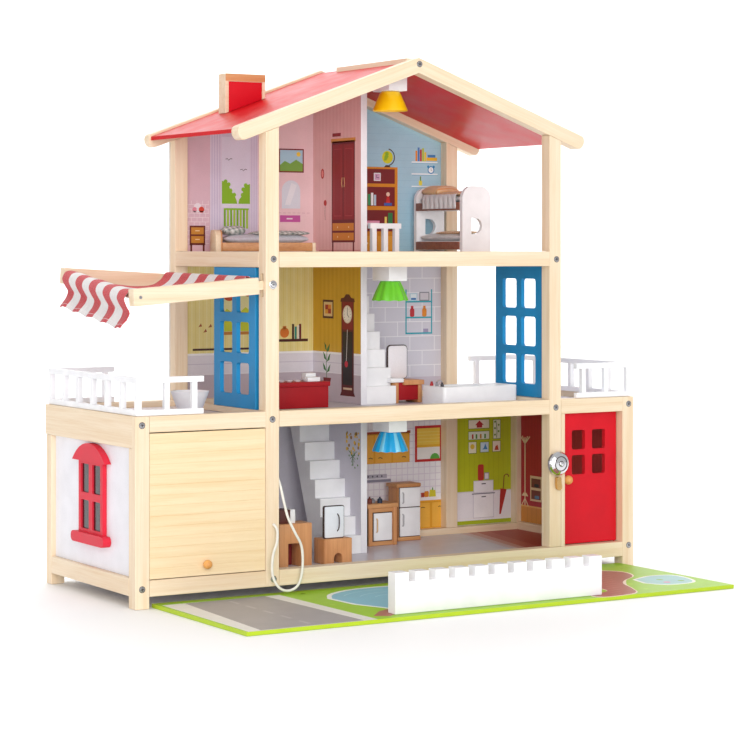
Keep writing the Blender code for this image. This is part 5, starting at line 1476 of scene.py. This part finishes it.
def floor():
    """A pale floor that curves up into a backdrop, facing the camera."""
    look = Look("studio_floor", Roughness=0.6)
    haze = look.noise(look.place(False), 3.0)
    look.feed("Base Color", look.mix(haze, linear("FAFAFB"), linear("FFFFFF")))
    mesh = bmesh.new()
    size = 14.0
    rows = [(-size, 0.0), (3.0, 0.0), (3.6, 0.06), (4.1, 0.30), (4.4, 0.80), (4.5, 1.6), (4.5, 9.0)]
    turn = Matrix.Rotation(CAMERA_TURN, 4, "Z")
    lines = [[mesh.verts.new(turn @ Vector((x, y, z))) for x in (-size, size)] for y, z in rows]
    for a, b in zip(lines, lines[1:]):
        mesh.faces.new((a[0], a[1], b[1], b[0])).smooth = True
    data = bpy.data.meshes.new("studio_floor")
    mesh.to_mesh(data)
    mesh.free()
    data.materials.append(look.made)
    made = bpy.data.objects.new("studio_floor", data)
    bpy.context.scene.collection.objects.link(made)
    made.location.z = -0.0004


def area_light(name, spot, target, power, size, colour=(1.0, 1.0, 1.0)):
    """A square lamp at a spot, aimed at a target."""
    data = bpy.data.lights.new(name, "AREA")
    data.energy = power
    data.size = size
    data.color = colour
    made = bpy.data.objects.new(name, data)
    bpy.context.scene.collection.objects.link(made)
    made.location = spot
    made.rotation_euler = (Vector(target) - Vector(spot)).to_track_quat("-Z", "Y").to_euler()


def lights():
    """White surroundings, a broad lamp by the camera, and weaker ones at the left, above and behind."""
    world = bpy.data.worlds.new("studio")
    world.use_nodes = True
    bpy.context.scene.world = world
    background = world.node_tree.nodes["Background"]
    background.inputs["Color"].default_value = (1.0, 1.0, 1.0, 1.0)
    background.inputs["Strength"].default_value = 0.56
    area_light("key", (-1.5, -3.2, 1.15), (0.0, 0.0, 0.33), 80.0, 2.2, (1.0, 0.985, 0.97))
    area_light("left_fill", (-3.0, -0.8, 1.0), (0.0, 0.0, 0.35), 9.0, 1.8)
    area_light("top", (0.1, 0.9, 2.9), (0.0, 0.1, 0.2), 30.0, 2.0)
    area_light("backdrop", (1.0, 1.7, 3.0), (2.34, 3.84, 0.6), 110.0, 2.5)
    bpy.context.scene.view_settings.view_transform = "Standard"


# ---------------------------------------------------------------- the whole picture
camera()
make_looks()
pull_cord()
dress_parts()
for part in (attic_bedroom, attic_study, attic_side, attic_side_right, dining_room, dining_side, bathroom,
             bathroom_side, kitchen, landing, hall, floor_prints_and_reflection, mat_print, screws, awning_bolt, knobs,
             bell_face, chimney_panel, window_panes, lamps, single_bed, bedding, bathtub, kitchen_block,
             ground_blocks, dining_furniture, awning_cloth):
    part()
floor()
lights()
